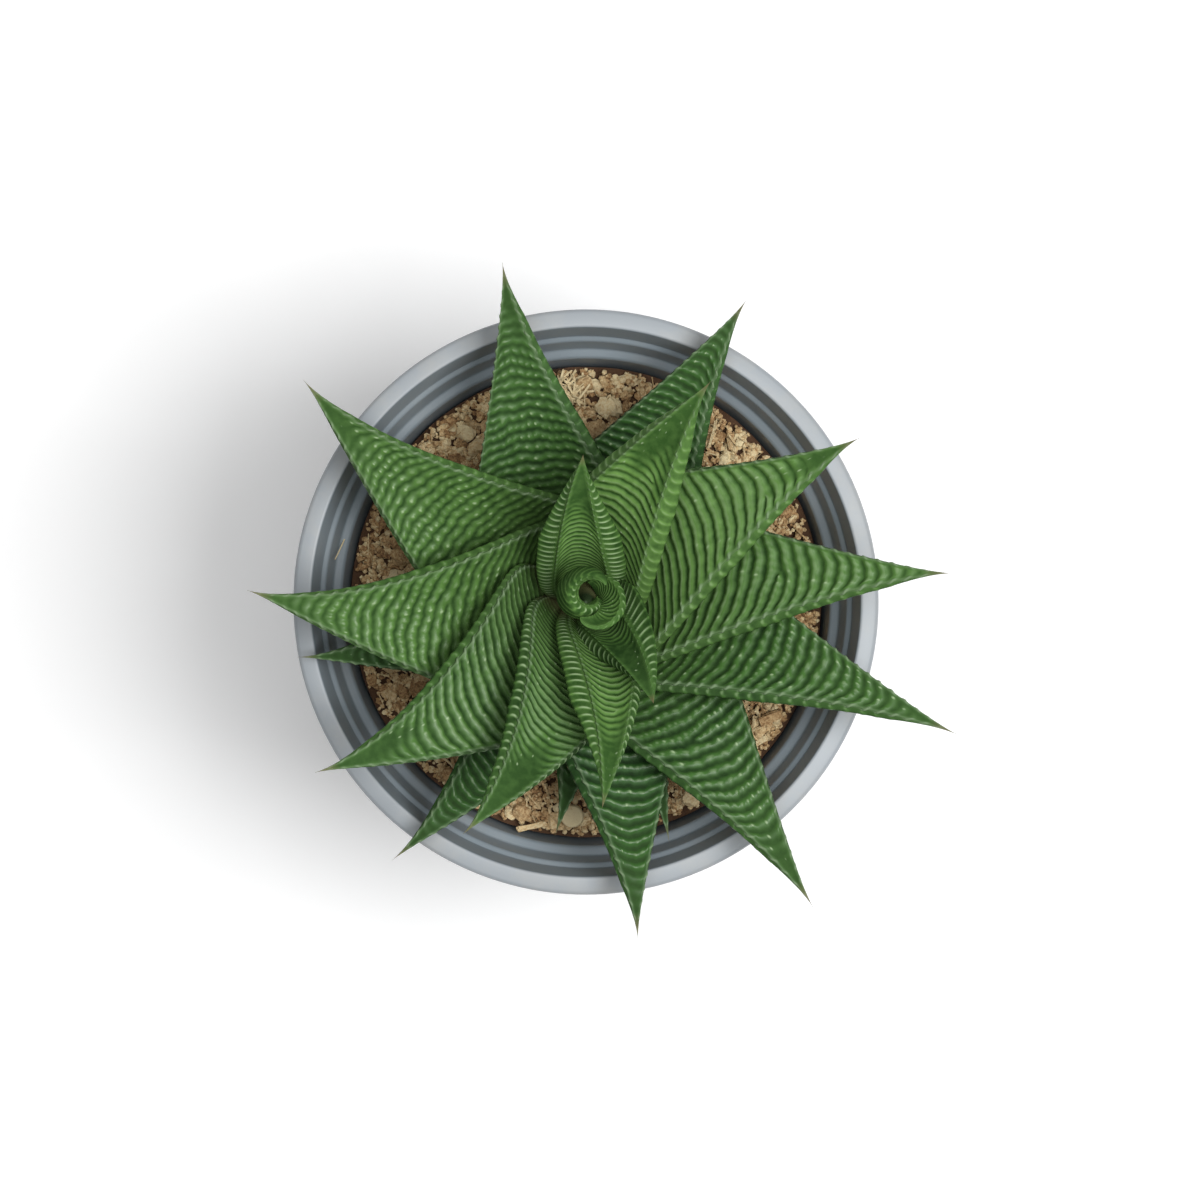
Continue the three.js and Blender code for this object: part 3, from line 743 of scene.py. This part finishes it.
def blade_directions(leaf, s):
    """Directions across the blade and out of its upper face. The roll lifts the clockwise edge."""
    along = unit(spine(leaf, s + SPINE_STEP) - spine(leaf, s - SPINE_STEP))
    angle = np.radians(leaf["azimuth"] + leaf["sweep"] * (1 - s))
    inward_and_up = np.stack([-np.cos(angle), -np.sin(angle), np.ones_like(s)], axis=-1)
    side = unit(np.cross(inward_and_up, along))
    up = np.cross(along, side)
    roll = np.radians(between(leaf["roll"], s))[:, None]
    return side * np.cos(roll) - up * np.sin(roll), up * np.cos(roll) + side * np.sin(roll)


def blade_half_width(leaf, s):
    taper = (2 * np.clip(1 - s, 0, 1)) ** leaf["taper"]
    narrow_root = 1 - leaf["narrowing"] * np.exp(-((s / ROOT_SHOULDER) ** 2))
    return np.maximum(leaf["half_width"] * taper * narrow_root, THINNEST_HALF_WIDTH)


def blade_thickness(leaf, s):
    for_width = (leaf["half_width"] / USUAL_HALF_WIDTH) ** WIDTH_IN_THICKNESS
    usual = np.interp(s, THICKNESS_SHARES, THICKNESS) * for_width
    return np.minimum(usual * leaf["fullness"], THICKEST_SHARE * blade_half_width(leaf, s))


# %% [markdown]
# The section of the blade has a flat top, which the curl turns into a channel, two straight narrow
# sides, and half an ellipse below them. A young leaf has sides nearly as deep as the blade is thick,
# and an old one is more like a lens. Between the top and each side the margin is a small round bead.
# The section is one row of places that runs round it, so each of its stretches is a formula of the
# place's number. a is a place across the blade and b a place up from its face, both in mm.

# %% Leaves: section
TOP_STEPS = 48
MARGIN_STEPS = 5
SIDE_STEPS = 10
BOTTOM_STEPS = 14
AROUND = TOP_STEPS + 2 * MARGIN_STEPS + 2 * SIDE_STEPS + BOTTOM_STEPS
EDGE_BULGE = 0.12
MARGIN_BULGE = 0.12
MARGIN_BULGE_SHARE = 0.2


def section(leaf, s):
    """The section at every station: places across and up, half width, way from the margin, and top."""
    w = blade_half_width(leaf, s)[:, None]
    t = blade_thickness(leaf, s)[:, None]
    edge = leaf["edge_depth"] * t
    widest = w + EDGE_BULGE * t
    place = np.arange(AROUND + 1)[None, :] + 0 * w
    right_turn = TOP_STEPS + MARGIN_STEPS
    right_side = right_turn + SIDE_STEPS
    left_side = right_side + BOTTOM_STEPS
    left_turn = left_side + SIDE_STEPS
    down_right = np.clip((place - right_turn) / SIDE_STEPS, 0, 1)
    down_left = np.clip((left_turn - place) / SIDE_STEPS, 0, 1)
    under = np.pi * np.clip((place - right_side) / BOTTOM_STEPS, 0, 1)
    round_right = np.pi * np.clip((place - TOP_STEPS) / MARGIN_STEPS, 0, 1)
    round_left = np.pi * np.clip((AROUND - place) / MARGIN_STEPS, 0, 1)
    bulge = np.minimum(MARGIN_BULGE, MARGIN_BULGE_SHARE * np.minimum(w, edge))
    stretches = [place <= TOP_STEPS, place <= right_turn, place <= right_side, place <= left_side,
                 place <= left_turn]
    a = np.select(stretches, [
        w * (2 * place / TOP_STEPS - 1), w + bulge * np.sin(round_right), w + (widest - w) * down_right,
        widest * np.cos(under), -w - (widest - w) * down_left], -w - bulge * np.sin(round_left))
    b = np.select(stretches, [
        0 * a, -bulge * (1 - np.cos(round_right)), between((-2 * bulge, -edge), down_right),
        -edge - (t - edge) * np.sin(under), between((-2 * bulge, -edge), down_left),
    ], -bulge * (1 - np.cos(round_left)))
    from_margin = np.where(stretches[0], w - np.abs(a), np.maximum(-b - 2 * bulge, 0))
    return a, b, w, from_margin, stretches[0]


# %% [markdown]
# ## Ridges
# Ridges run across the blade one to two millimetres apart, and closer near the root, where the leaf is
# still growing. They bend back towards both margins, wander a little, and in each leaf one of them
# forks. A texture could only draw them, but here they must stand out, so they are raised from the mesh.
# The first step counts ridges: it gives each vertex the number of ridges from the root to it.

# %% Ridges: where each one runs
NEAR_ROOT_SPACING = 0.5
NEAR_ROOT = (0.12, 0.45)
RIDGE_BOW = 1.3
RIDGE_BOW_AT_EDGE = 2.2
FULL_BOW_HALF_WIDTH = 3
RIDGE_SLANT = 0.1
SIDE_SLANT = 0.35
SIDE_BOW = 0.55
# Three waves that the ridges wander by: height in mm, and radians a mm along and across the blade.
WANDER = [(0.13, 0.5, 0.7), (0.11, -0.35, 1.6), (0.06, 0.9, 4.1)]
WAVINESS = (0.6, 1.4)
FORKS = 1
FORK_SHARES = (0.25, 0.7)
FORK_REACH = 0.7


def smoothstep(low, high, x):
    share = np.clip((x - low) / (high - low), 0, 1)
    return share * share * (3 - 2 * share)


def ridges_wander(leaf, along, a, chance):
    turns = [chance.uniform(0, 2 * math.pi) for _ in WANDER]
    waves = [height * np.sin(lengthwise * along + across * a + turn)
             for (height, lengthwise, across), turn in zip(WANDER, turns)]
    return between(WAVINESS, leaf["broken"]) * sum(waves)


def ridge_phase(leaf, s, a, b, w, down_side):
    """Number of ridges from the root to each vertex, with its wandering and its fork."""
    chance = random.Random(100 + leaf["seed"])
    points = spine(leaf, s)
    length = np.concatenate([[0], np.cumsum(np.linalg.norm(np.diff(points, axis=0), axis=1))])
    spacing = leaf["spacing"] * between((NEAR_ROOT_SPACING, 1), smoothstep(*NEAR_ROOT, s))
    ridge_count = np.concatenate([[0], np.cumsum(np.diff(length) / spacing[1:])])
    along = length[:, None] + 0 * a
    wander = ridges_wander(leaf, along, a, chance)
    to_edge = np.clip(np.abs(a) / w, 0, 1) ** RIDGE_BOW_AT_EDGE
    bend = RIDGE_BOW * to_edge * np.minimum(1, w / FULL_BOW_HALF_WIDTH) - RIDGE_SLANT * a
    side_bend = 4 * SIDE_BOW * down_side * (1 - down_side) - SIDE_SLANT * b
    phase = np.interp(along + bend + side_bend + wander, length, ridge_count)
    for _ in range(FORKS):
        fork_along = chance.uniform(*FORK_SHARES) * length[-1]
        fork_across = chance.uniform(-FORK_REACH, FORK_REACH) * leaf["half_width"]
        way = chance.choice((-1, 1))
        phase = phase + way * np.arctan2(a - fork_across, along - fork_along) / (2 * math.pi)
    return phase


# %% [markdown]
# Each ridge is a smooth rounded roll with a narrow groove before the next one. On old leaves the rolls
# break up into dashes, with a white bead here and there. On the two side faces the ridges go on as
# thin white bars, and the margin has a small tooth at each of them. The next step shapes one roll and
# breaks it up: through goes from 0 to 1 across a ridge, and row is the ridge's number.

# %% Ridges: rolls, dashes and beads
RIDGE_SKEW = 0.9
RIDGE_SHARPNESS = (0.8, 1.8)
YOUNG_SHARPNESS = 1.2
NEAR_ROOT_SHARPNESS = 1.3
BROKEN_DEPTH = 0.5
BEAD_SPACING = 1.1
DASH_SHARES = (1.5, 0.6)
BEAD_SHARPNESS = (8, 14)
BEADS_END = (0.8, 0.92)
BEADS_PICKED = (0.92, 0.8)


def ridge_roll(leaf, through, grown):
    sharpness = between(RIDGE_SHARPNESS, leaf["depth"]) + YOUNG_SHARPNESS * leaf["youth"]
    sharpness = sharpness + NEAR_ROOT_SHARPNESS * (1 - grown)
    return np.sin(math.pi * through ** RIDGE_SKEW) ** sharpness


def broken_up(leaf, roll, row, a, s_all):
    """The rolls with their dashes, and the white beads. The factors of row only scramble the rows."""
    dash = BEAD_SPACING * (DASH_SHARES[0] + DASH_SHARES[1] * np.sin(5.3 * row + leaf["seed"]))
    wave = 0.5 + 0.5 * np.cos(2 * math.pi * a / dash + 2.4 * row)
    dashed = roll * (1 - BROKEN_DEPTH * leaf["broken"] * (1 - wave))
    chosen = 0.5 + 0.5 * np.sin(12.9 * row + 7.1 * np.round(a / BEAD_SPACING) + leaf["seed"])
    picked = smoothstep(BEADS_PICKED[0] - BEADS_PICKED[1] * leaf["broken"], 1.0, chosen)
    beads = roll ** BEAD_SHARPNESS[0] * wave ** BEAD_SHARPNESS[1] * picked
    return dashed, beads * (1 - smoothstep(*BEADS_END, s_all))


# %% [markdown]
# The last step puts rolls, beads, bars and teeth together, and fades them towards the root, the tip
# and the margin. It gives the height by which each vertex is raised, and three numbers that tell the
# material how much of a crest, a speck or a margin is there.

# %% Ridges: relief
RIDGE_HEIGHT = 0.5
FULL_HEIGHT_SPACING = 2
FULL_HEIGHT_HALF_WIDTH = 2
NEAR_ROOT_HEIGHT = 0.3
SIDE_HEIGHT = 0.25
BROKEN_LOWERING = 0.4
YOUNG_LOWERING = 0.65
BAR_SHARPNESS = 3.5
BAR_SPECK_SHARPNESS = 6
SIDE_CREST = (0.4, 0.1)
BAR_CREST = 0.6
SPECK_HEIGHT = 0.07
MARGIN_LINE = 0.24
MARGIN_TEETH = 0.26
TOOTH_CONTRAST = 0.6
OFF_MARGIN = 0.6
MARGIN_CREST = 0.4
ROOT_FADE = (0.02, 0.1)
MARGIN_ROOT_FADE = (0.0, 0.08)
SIDE_FADE_FROM = 0.76
FADE_LENGTH = 0.22
FADE_WAVE = 0.05
SHALLOWEST_EDGE = 0.1


def ridge_fading(leaf, a, s_all, on_top):
    fade_from = leaf["fade_from"] + FADE_WAVE * np.sin(1.1 * a + leaf["seed"])
    fade_from = np.where(on_top, fade_from, SIDE_FADE_FROM)
    return 1 - smoothstep(fade_from, fade_from + FADE_LENGTH, s_all)


def ridge_size(leaf, w, grown, on_top):
    """Height of a ridge in mm: lower where it is young, broken, fine, narrow, or on a side face."""
    size = RIDGE_HEIGHT * min(1, leaf["spacing"] / FULL_HEIGHT_SPACING)
    size = size * (1 - BROKEN_LOWERING * leaf["broken"]) * (1 - YOUNG_LOWERING * leaf["youth"])
    top_size = between((NEAR_ROOT_HEIGHT, 1), grown)
    return size * np.minimum(1, w / FULL_HEIGHT_HALF_WIDTH) * np.where(on_top, top_size, SIDE_HEIGHT)


def relief(leaf, s, a, b, w, from_margin, on_top):
    """Height of the surface's relief in mm, and the shares of crest, speck and margin."""
    edge = leaf["edge_depth"] * blade_thickness(leaf, s)[:, None]
    down_side = np.where(on_top, 0, np.clip(-b / np.maximum(edge, SHALLOWEST_EDGE), 0, 1))
    phase = ridge_phase(leaf, s, a, b, w, down_side)
    row = np.floor(phase)
    through = phase - row
    s_all = s[:, None] + 0 * a
    grown = smoothstep(*NEAR_ROOT, s_all)
    dashed, beads = broken_up(leaf, ridge_roll(leaf, through, grown), row, a, s_all)
    wave = 0.5 - 0.5 * np.cos(2 * math.pi * through)
    bar = wave ** BAR_SHARPNESS
    barred = between(SIDE_CREST, leaf["bars"]) + BAR_CREST * bar
    arcs = leaf["bars"] * wave ** BAR_SPECK_SHARPNESS * np.sin(math.pi * down_side)
    off_margin = smoothstep(0.0, OFF_MARGIN, from_margin)
    fading = ridge_fading(leaf, a, s_all, on_top)
    starting = smoothstep(*ROOT_FADE, s_all)
    crest = np.where(on_top, dashed, barred) * fading * starting * off_margin
    speck = np.where(on_top, beads, arcs * fading) * starting * off_margin
    margin = np.exp(-(from_margin / MARGIN_LINE) ** 2) * smoothstep(*MARGIN_ROOT_FADE, s_all)
    margin = margin * (1 - TOOTH_CONTRAST + TOOTH_CONTRAST * bar) * (1 - YOUNG_LOWERING * leaf["youth"])
    raised = ridge_size(leaf, w, grown, on_top) * crest
    height = raised + SPECK_HEIGHT * speck + MARGIN_TEETH * margin * bar * fading
    return height, crest + MARGIN_CREST * (1 - off_margin), speck, margin


# %% [markdown]
# ## Blades
# A flat grid is wrapped into each blade: one direction of the grid runs from root to tip, and the other
# runs round the section. So the operator makes the faces and their UV map, and the formulas only say
# where each vertex goes. Then the long seam is merged and the two ends are closed.

# %% Blades: wrap the grid
CHANNEL_LOST_AT_TIP = 0.6
TIGHTEST_CURL = 0.33
FACE_SHIFT = 0.33
LENGTHWISE_STEPS = 300
SEAM_GAP = 0.01


def wrapped(leaf, s, a, b):
    """Points of the blade from its flat drawing, which leans and is then rolled up into a channel."""
    across, out_of_face = blade_directions(leaf, s)
    w = blade_half_width(leaf, s)
    curl = np.minimum(leaf["channel"] * (1 - CHANNEL_LOST_AT_TIP * s) / w, TIGHTEST_CURL)[:, None]
    turn = curl * (a + leaf["lean"] * (b + FACE_SHIFT * w[:, None]))
    reach = 1 / curl - b
    sideways = (reach * np.sin(turn))[..., None] * across[:, None, :]
    outwards = (1 / curl - reach * np.cos(turn))[..., None] * out_of_face[:, None, :]
    return spine(leaf, s)[:, None, :] + sideways + outwards


def outward_in_section(a, b):
    """Unit directions out of the section at each of its points, as places across and up."""
    step_a = np.roll(a[:, :-1], -1, axis=1) - np.roll(a[:, :-1], 1, axis=1)
    step_b = np.roll(b[:, :-1], -1, axis=1) - np.roll(b[:, :-1], 1, axis=1)
    size = np.maximum(np.hypot(step_a, step_b), 1e-9)
    first_again = [*range(AROUND), 0]
    return (-step_b / size)[:, first_again], (step_a / size)[:, first_again]


def leaf_surface(leaf):
    """Every vertex of a blade in metres, and the numbers that its material reads."""
    s = np.linspace(0, 1, LENGTHWISE_STEPS + 1)
    a, b, w, from_margin, on_top = section(leaf, s)
    height, crest, speck, margin = relief(leaf, s, a, b, w, from_margin, on_top)
    out_a, out_b = outward_in_section(a, b)
    points = wrapped(leaf, s, a + out_a * height, b + out_b * height)
    along = between(leaf["tinted"], s[:, None] + 0 * a)
    return points * MM, {"crest": crest, "speck": speck, "margin": margin, "along": along}


def leaf_mesh(leaf):
    points, numbers = leaf_surface(leaf)
    bm = bmesh.new()
    bm.loops.layers.uv.new("UVMap")
    bmesh.ops.create_grid(bm, x_segments=LENGTHWISE_STEPS, y_segments=AROUND, size=0.5, calc_uvs=True)
    layers = {key: bm.verts.layers.float.new(key) for key in numbers}
    for vertex in bm.verts:
        station = round((vertex.co.x + 0.5) * LENGTHWISE_STEPS)
        place = round((vertex.co.y + 0.5) * AROUND)
        vertex.co = points[station, place]
        for key, values in numbers.items():
            vertex[layers[key]] = values[station, place]
    bmesh.ops.remove_doubles(bm, verts=bm.verts, dist=SEAM_GAP * MM)
    bmesh.ops.holes_fill(bm, edges=[edge for edge in bm.edges if edge.is_boundary], sides=0)
    bmesh.ops.recalc_face_normals(bm, faces=bm.faces)
    return bm


# %% [markdown]
# ## The leaves' skin
# The skin of a succulent leaf is a clear waxy layer over wet green flesh. The wax scatters light on
# the raised rolls, which shine and look paler, and their tops also carry a painted white highlight.
# Dust and scars dull the grooves, whose deep green is darker partly as painted shade. The margin is a
# thin pale line, and the specks are white. Young leaves are yellow-green and old ones a deep green, and
# leaves that lie in shade get a deeper green as painted shade. Towards the hidden base the green is
# darkened to olive as painted shade and then turns brown, the outer half is painted paler as painted
# light, and the tip dries to grey-brown. An image could be painted for all this, but the numbers at the
# vertices already say where each thing is. Plant wax has an IOR of about 1.45.

# %% Material: waxy leaf
# The valley greens are darker than the crests partly as painted shade in the grooves.
YOUNG_VALLEY_AND_SHADE = "#254715"
YOUNG_CREST = "#688e48"
OLD_VALLEY_AND_SHADE = "#10260c"
OLD_CREST = "#325828"
# Painted shade towards the hidden base and painted light on the outer half of each leaf.
PAINTED_SHADE_GREEN = "#2f431c"
PAINTED_LIGHT_GREEN = "#4f7439"
# The white of the specks, also used for the painted highlight on the rolls.
SPECK_AND_HIGHLIGHT_WHITE = "#a3b990"
MARGIN_PALE = "#7c9170"
TIP_BROWN = "#6f6248"
ROOT_BROWN = "#5f4e3a"
GREEN_CRESTS = (0.05, 0.7)
CREST_SHIFT = 0.38
MOTTLE_SIZE = 1.3
MOTTLE_STRENGTH = 0.9
SHINY_CRESTS = (0.15, 0.7)
SKIN_ROUGHNESS = (0.85, 0.34)
PORE_SIZE = 0.35
PORE_DEPTH = 0.05
WAX_SPECULAR = 0.25
WAX_IOR = 1.45
# What lies over the green: the vertex number that is read, where it starts and where it is full, how
# much of the colour is then there, and the colour.
SKIN_LAYERS = [
    # Painted shade towards the base, then painted light on the outer half.
    ("along", 0.45, 0.12, 0.5, PAINTED_SHADE_GREEN),
    ("along", 0.45, 0.85, 0.26, PAINTED_LIGHT_GREEN),
    # A painted highlight: the tops of the rolls are mixed towards white.
    ("crest", 0.8, 1.0, 0.25, SPECK_AND_HIGHLIGHT_WHITE),
    ("speck", 0.1, 0.9, 0.75, SPECK_AND_HIGHLIGHT_WHITE),
    ("margin", 0.2, 1.0, 0.75, MARGIN_PALE),
    ("along", 0.92, 0.99, 0.85, TIP_BROWN),
    ("along", 0.11, 0.03, 0.65, ROOT_BROWN),
]


def skin_green(tree, place, crest):
    """The green under the wax: valleys, darker partly as painted shade, crests and a mottle, for how deep the
    leaf's green is, painted shade included.
    """
    depth = add_node(tree, "ShaderNodeAttribute", attribute_name="depth")
    greens = [add_node(tree, "ShaderNodeMix", {
        FACTOR: depth.outputs["Fac"], FIRST: linear(young), SECOND: linear(old),
    }, data_type="RGBA").outputs[MIXED]
        for young, old in ((YOUNG_VALLEY_AND_SHADE, OLD_VALLEY_AND_SHADE), (YOUNG_CREST, OLD_CREST))]
    band = add_node(tree, "ShaderNodeMapRange", {
        "Value": crest, "From Min": GREEN_CRESTS[0], "From Max": GREEN_CRESTS[1],
        "To Min": -CREST_SHIFT, "To Max": CREST_SHIFT})
    mottle = add_node(tree, "ShaderNodeTexNoise", {
        "Vector": place, "Scale": 1 / (MOTTLE_SIZE * MM), "Detail": 3})
    raised = add_node(tree, "ShaderNodeMath", {
        0: mottle.outputs["Fac"], 1: MOTTLE_STRENGTH, 2: band.outputs["Result"],
    }, operation="MULTIPLY_ADD", use_clamp=True)
    return add_node(tree, "ShaderNodeMix", {
        FACTOR: raised.outputs[0], FIRST: greens[0], SECOND: greens[1],
    }, data_type="RGBA").outputs[MIXED]


def waxy_leaf(name):
    material, tree, shader = new_material(name)
    place = add_node(tree, "ShaderNodeTexCoord").outputs["Object"]
    crest = add_node(tree, "ShaderNodeAttribute", attribute_name="crest").outputs["Fac"]
    colour = skin_green(tree, place, crest)
    for key, low, high, strength, hex_code in SKIN_LAYERS:
        number = add_node(tree, "ShaderNodeAttribute", attribute_name=key)
        share = add_node(tree, "ShaderNodeMapRange", {
            "Value": number.outputs["Fac"], "From Min": low, "From Max": high, "To Max": strength})
        colour = add_node(tree, "ShaderNodeMix", {
            FACTOR: share.outputs["Result"], FIRST: colour, SECOND: linear(hex_code),
        }, data_type="RGBA").outputs[MIXED]
    dullness = add_node(tree, "ShaderNodeMapRange", {
        "Value": crest, "From Min": SHINY_CRESTS[0], "From Max": SHINY_CRESTS[1],
        "To Min": SKIN_ROUGHNESS[0], "To Max": SKIN_ROUGHNESS[1]})
    pores = add_node(tree, "ShaderNodeTexNoise", {
        "Vector": place, "Scale": 1 / (PORE_SIZE * MM), "Detail": 2})
    bump = add_node(tree, "ShaderNodeBump", {
        "Height": pores.outputs["Fac"], "Strength": 0.3, "Distance": PORE_DEPTH * MM})
    fill(tree, shader, {
        "Base Color": colour, "Roughness": dullness.outputs["Result"], "Normal": bump.outputs["Normal"],
        "Specular IOR Level": WAX_SPECULAR, "IOR": WAX_IOR})
    return material


# %% [markdown]
# Each leaf is a piece of its own and stands for its own imported solid. The record names one finish for
# the young leaves and one for the old, so the skin is made twice. Each leaf could have a material of
# its own green, but a number at its vertices, the depth of the green with painted shade for leaves that
# lie in shade, does that with two.

# %% Leaves: make them all
slots = {row["node"]: row["material_slot"] for row in frame["record"]["subparts"]}
skins = {slot: waxy_leaf("waxy_" + slot) for slot in ("young_leaf", "old_leaf")}
for name, leaf in all_leaves.items():
    piece = add_mesh_piece(leaf_mesh(leaf), name + "_blade", skins[slots[name]], [name])
    mark_vertices(piece, "depth", [leaf["depth"]] * len(piece.data.vertices))
    smooth(piece)
    print(piece.name, "faces:", len(piece.data.polygons))

# %% [markdown]
# ## Stem
# The short stem is hidden among the leaf bases, except its growing point, whose top shows green in the
# heart's opening. Its skin is the dry, fibrous rest of old leaf bases. A noise makes that, and the
# height above the ground turns it to a dark green at the growing point: its own green, darkened as
# painted shade of the heart's opening.

# %% Material: dry stem
STEM_DARK = "#4a3f24"
STEM_LIGHT = "#8a8a58"
# The growing point's green, darkened as painted shade of the heart's opening.
GROWING_GREEN_AND_SHADE = "#1d3010"
GREEN_HEIGHTS = (90, 94)
STEM_FIBRE_SIZE = 1.5
STEM_FIBRE_DEPTH = 0.3
STEM_ROUGHNESS = 0.7


def dry_stem():
    material, tree, shader = new_material("dry_stem")
    place = add_node(tree, "ShaderNodeTexCoord").outputs["Object"]
    rests = add_node(tree, "ShaderNodeTexNoise", {
        "Vector": place, "Scale": 1 / (STEM_FIBRE_SIZE * MM), "Detail": 4})
    tint = add_node(tree, "ShaderNodeMix", {
        FACTOR: rests.outputs["Fac"], FIRST: linear(STEM_DARK), SECOND: linear(STEM_LIGHT),
    }, data_type="RGBA")
    height = add_node(tree, "ShaderNodeSeparateXYZ", {"Vector": place}).outputs["Z"]
    growing_point_share = add_node(tree, "ShaderNodeMapRange", {
        "Value": height, "From Min": GREEN_HEIGHTS[0] * MM, "From Max": GREEN_HEIGHTS[1] * MM})
    greened = add_node(tree, "ShaderNodeMix", {
        FACTOR: growing_point_share.outputs["Result"], FIRST: tint.outputs[MIXED], SECOND: linear(GROWING_GREEN_AND_SHADE),
    }, data_type="RGBA")
    bump = add_node(tree, "ShaderNodeBump", {
        "Height": rests.outputs["Fac"], "Strength": 0.6, "Distance": STEM_FIBRE_DEPTH * MM})
    fill(tree, shader, {
        "Base Color": greened.outputs[MIXED], "Normal": bump.outputs["Normal"], "Roughness": STEM_ROUGHNESS})
    return material


# %% [markdown]
# The stem is round, so it is spun like the pot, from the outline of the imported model. Only its top is
# slimmer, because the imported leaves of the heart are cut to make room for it, and these are whole.

# %% Stem
STEM_OUTLINE = [
    (0, 46), (3.6, 46), (4.4, 60), (6.6, 66), (6.8, 71), (5.2, 80), (3.4, 88), (1.4, 93), (0.4, 97.5),
    (0, 98),
]
STEM_TURN_STEPS = 64
STEM_SHARPEST = 60

stem_bm, _ = drawn(STEM_OUTLINE)
spin_round(stem_bm, STEM_TURN_STEPS)
stem = add_mesh_piece(stem_bm, "short_stem", dry_stem(), ["stem"])
shade(stem, STEM_SHARPEST)
print("stem faces:", len(stem.data.polygons))

# %% [markdown]
# ## Floor and light
# The object stands on a plain white floor that glows a little, like a lit photographer's table, so that
# the shadow stays faint. A large soft lamp hangs overhead. A smaller one hangs to the right and lays the
# soft shadow to the left, as in the photograph. Area lamps are used, because their size in millimetres
# says how soft the shadow is.

# %% Floor and light
FLOOR_WHITE = "#fbfbfb"
FLOOR_ROUGHNESS = 0.9
FLOOR_GLOW = 0.12
FLOOR_HALF_WIDTH = 3000
PLAIN_WHITE = "#ffffff"
WORLD_LIGHT = 0.12
# Name, place, size, and power in watts.
LAMPS = [("main_lamp", (270, -30, 670), 320, 4.0), ("overhead_lamp", (-50, 50, 1200), 700, 5.6)]


def add_floor():
    bm = bmesh.new()
    bmesh.ops.create_grid(bm, x_segments=1, y_segments=1, size=FLOOR_HALF_WIDTH * MM)
    floor = add_object("floor", mesh_of(bm, "floor"))
    material, tree, shader = new_material("white_floor")
    fill(tree, shader, {
        "Base Color": linear(FLOOR_WHITE), "Roughness": FLOOR_ROUGHNESS,
        "Emission Color": linear(PLAIN_WHITE), "Emission Strength": FLOOR_GLOW})
    floor.data.materials.append(material)


def add_soft_lamp(name, place, size, power):
    """An area lamp that shines at the middle of the pot's rim."""
    data = bpy.data.lights.new(name, "AREA")
    data.size = size * MM
    data.energy = power
    lamp = add_object(name, data)
    lamp.location = [length * MM for length in place]
    to_rim = Vector((0, 0, RIM_HEIGHT * MM)) - lamp.location
    lamp.rotation_euler = to_rim.to_track_quat("-Z", "Y").to_euler()


add_floor()
for row in LAMPS:
    add_soft_lamp(*row)
world = bpy.data.worlds.new("studio")
world.use_nodes = True
fill(world.node_tree, world.node_tree.nodes["Background"],
     {"Color": linear(PLAIN_WHITE), "Strength": WORLD_LIGHT})
bpy.context.scene.world = world
bpy.context.scene.view_settings.view_transform = "Standard"
print("lamps:", [row[0] for row in LAMPS])
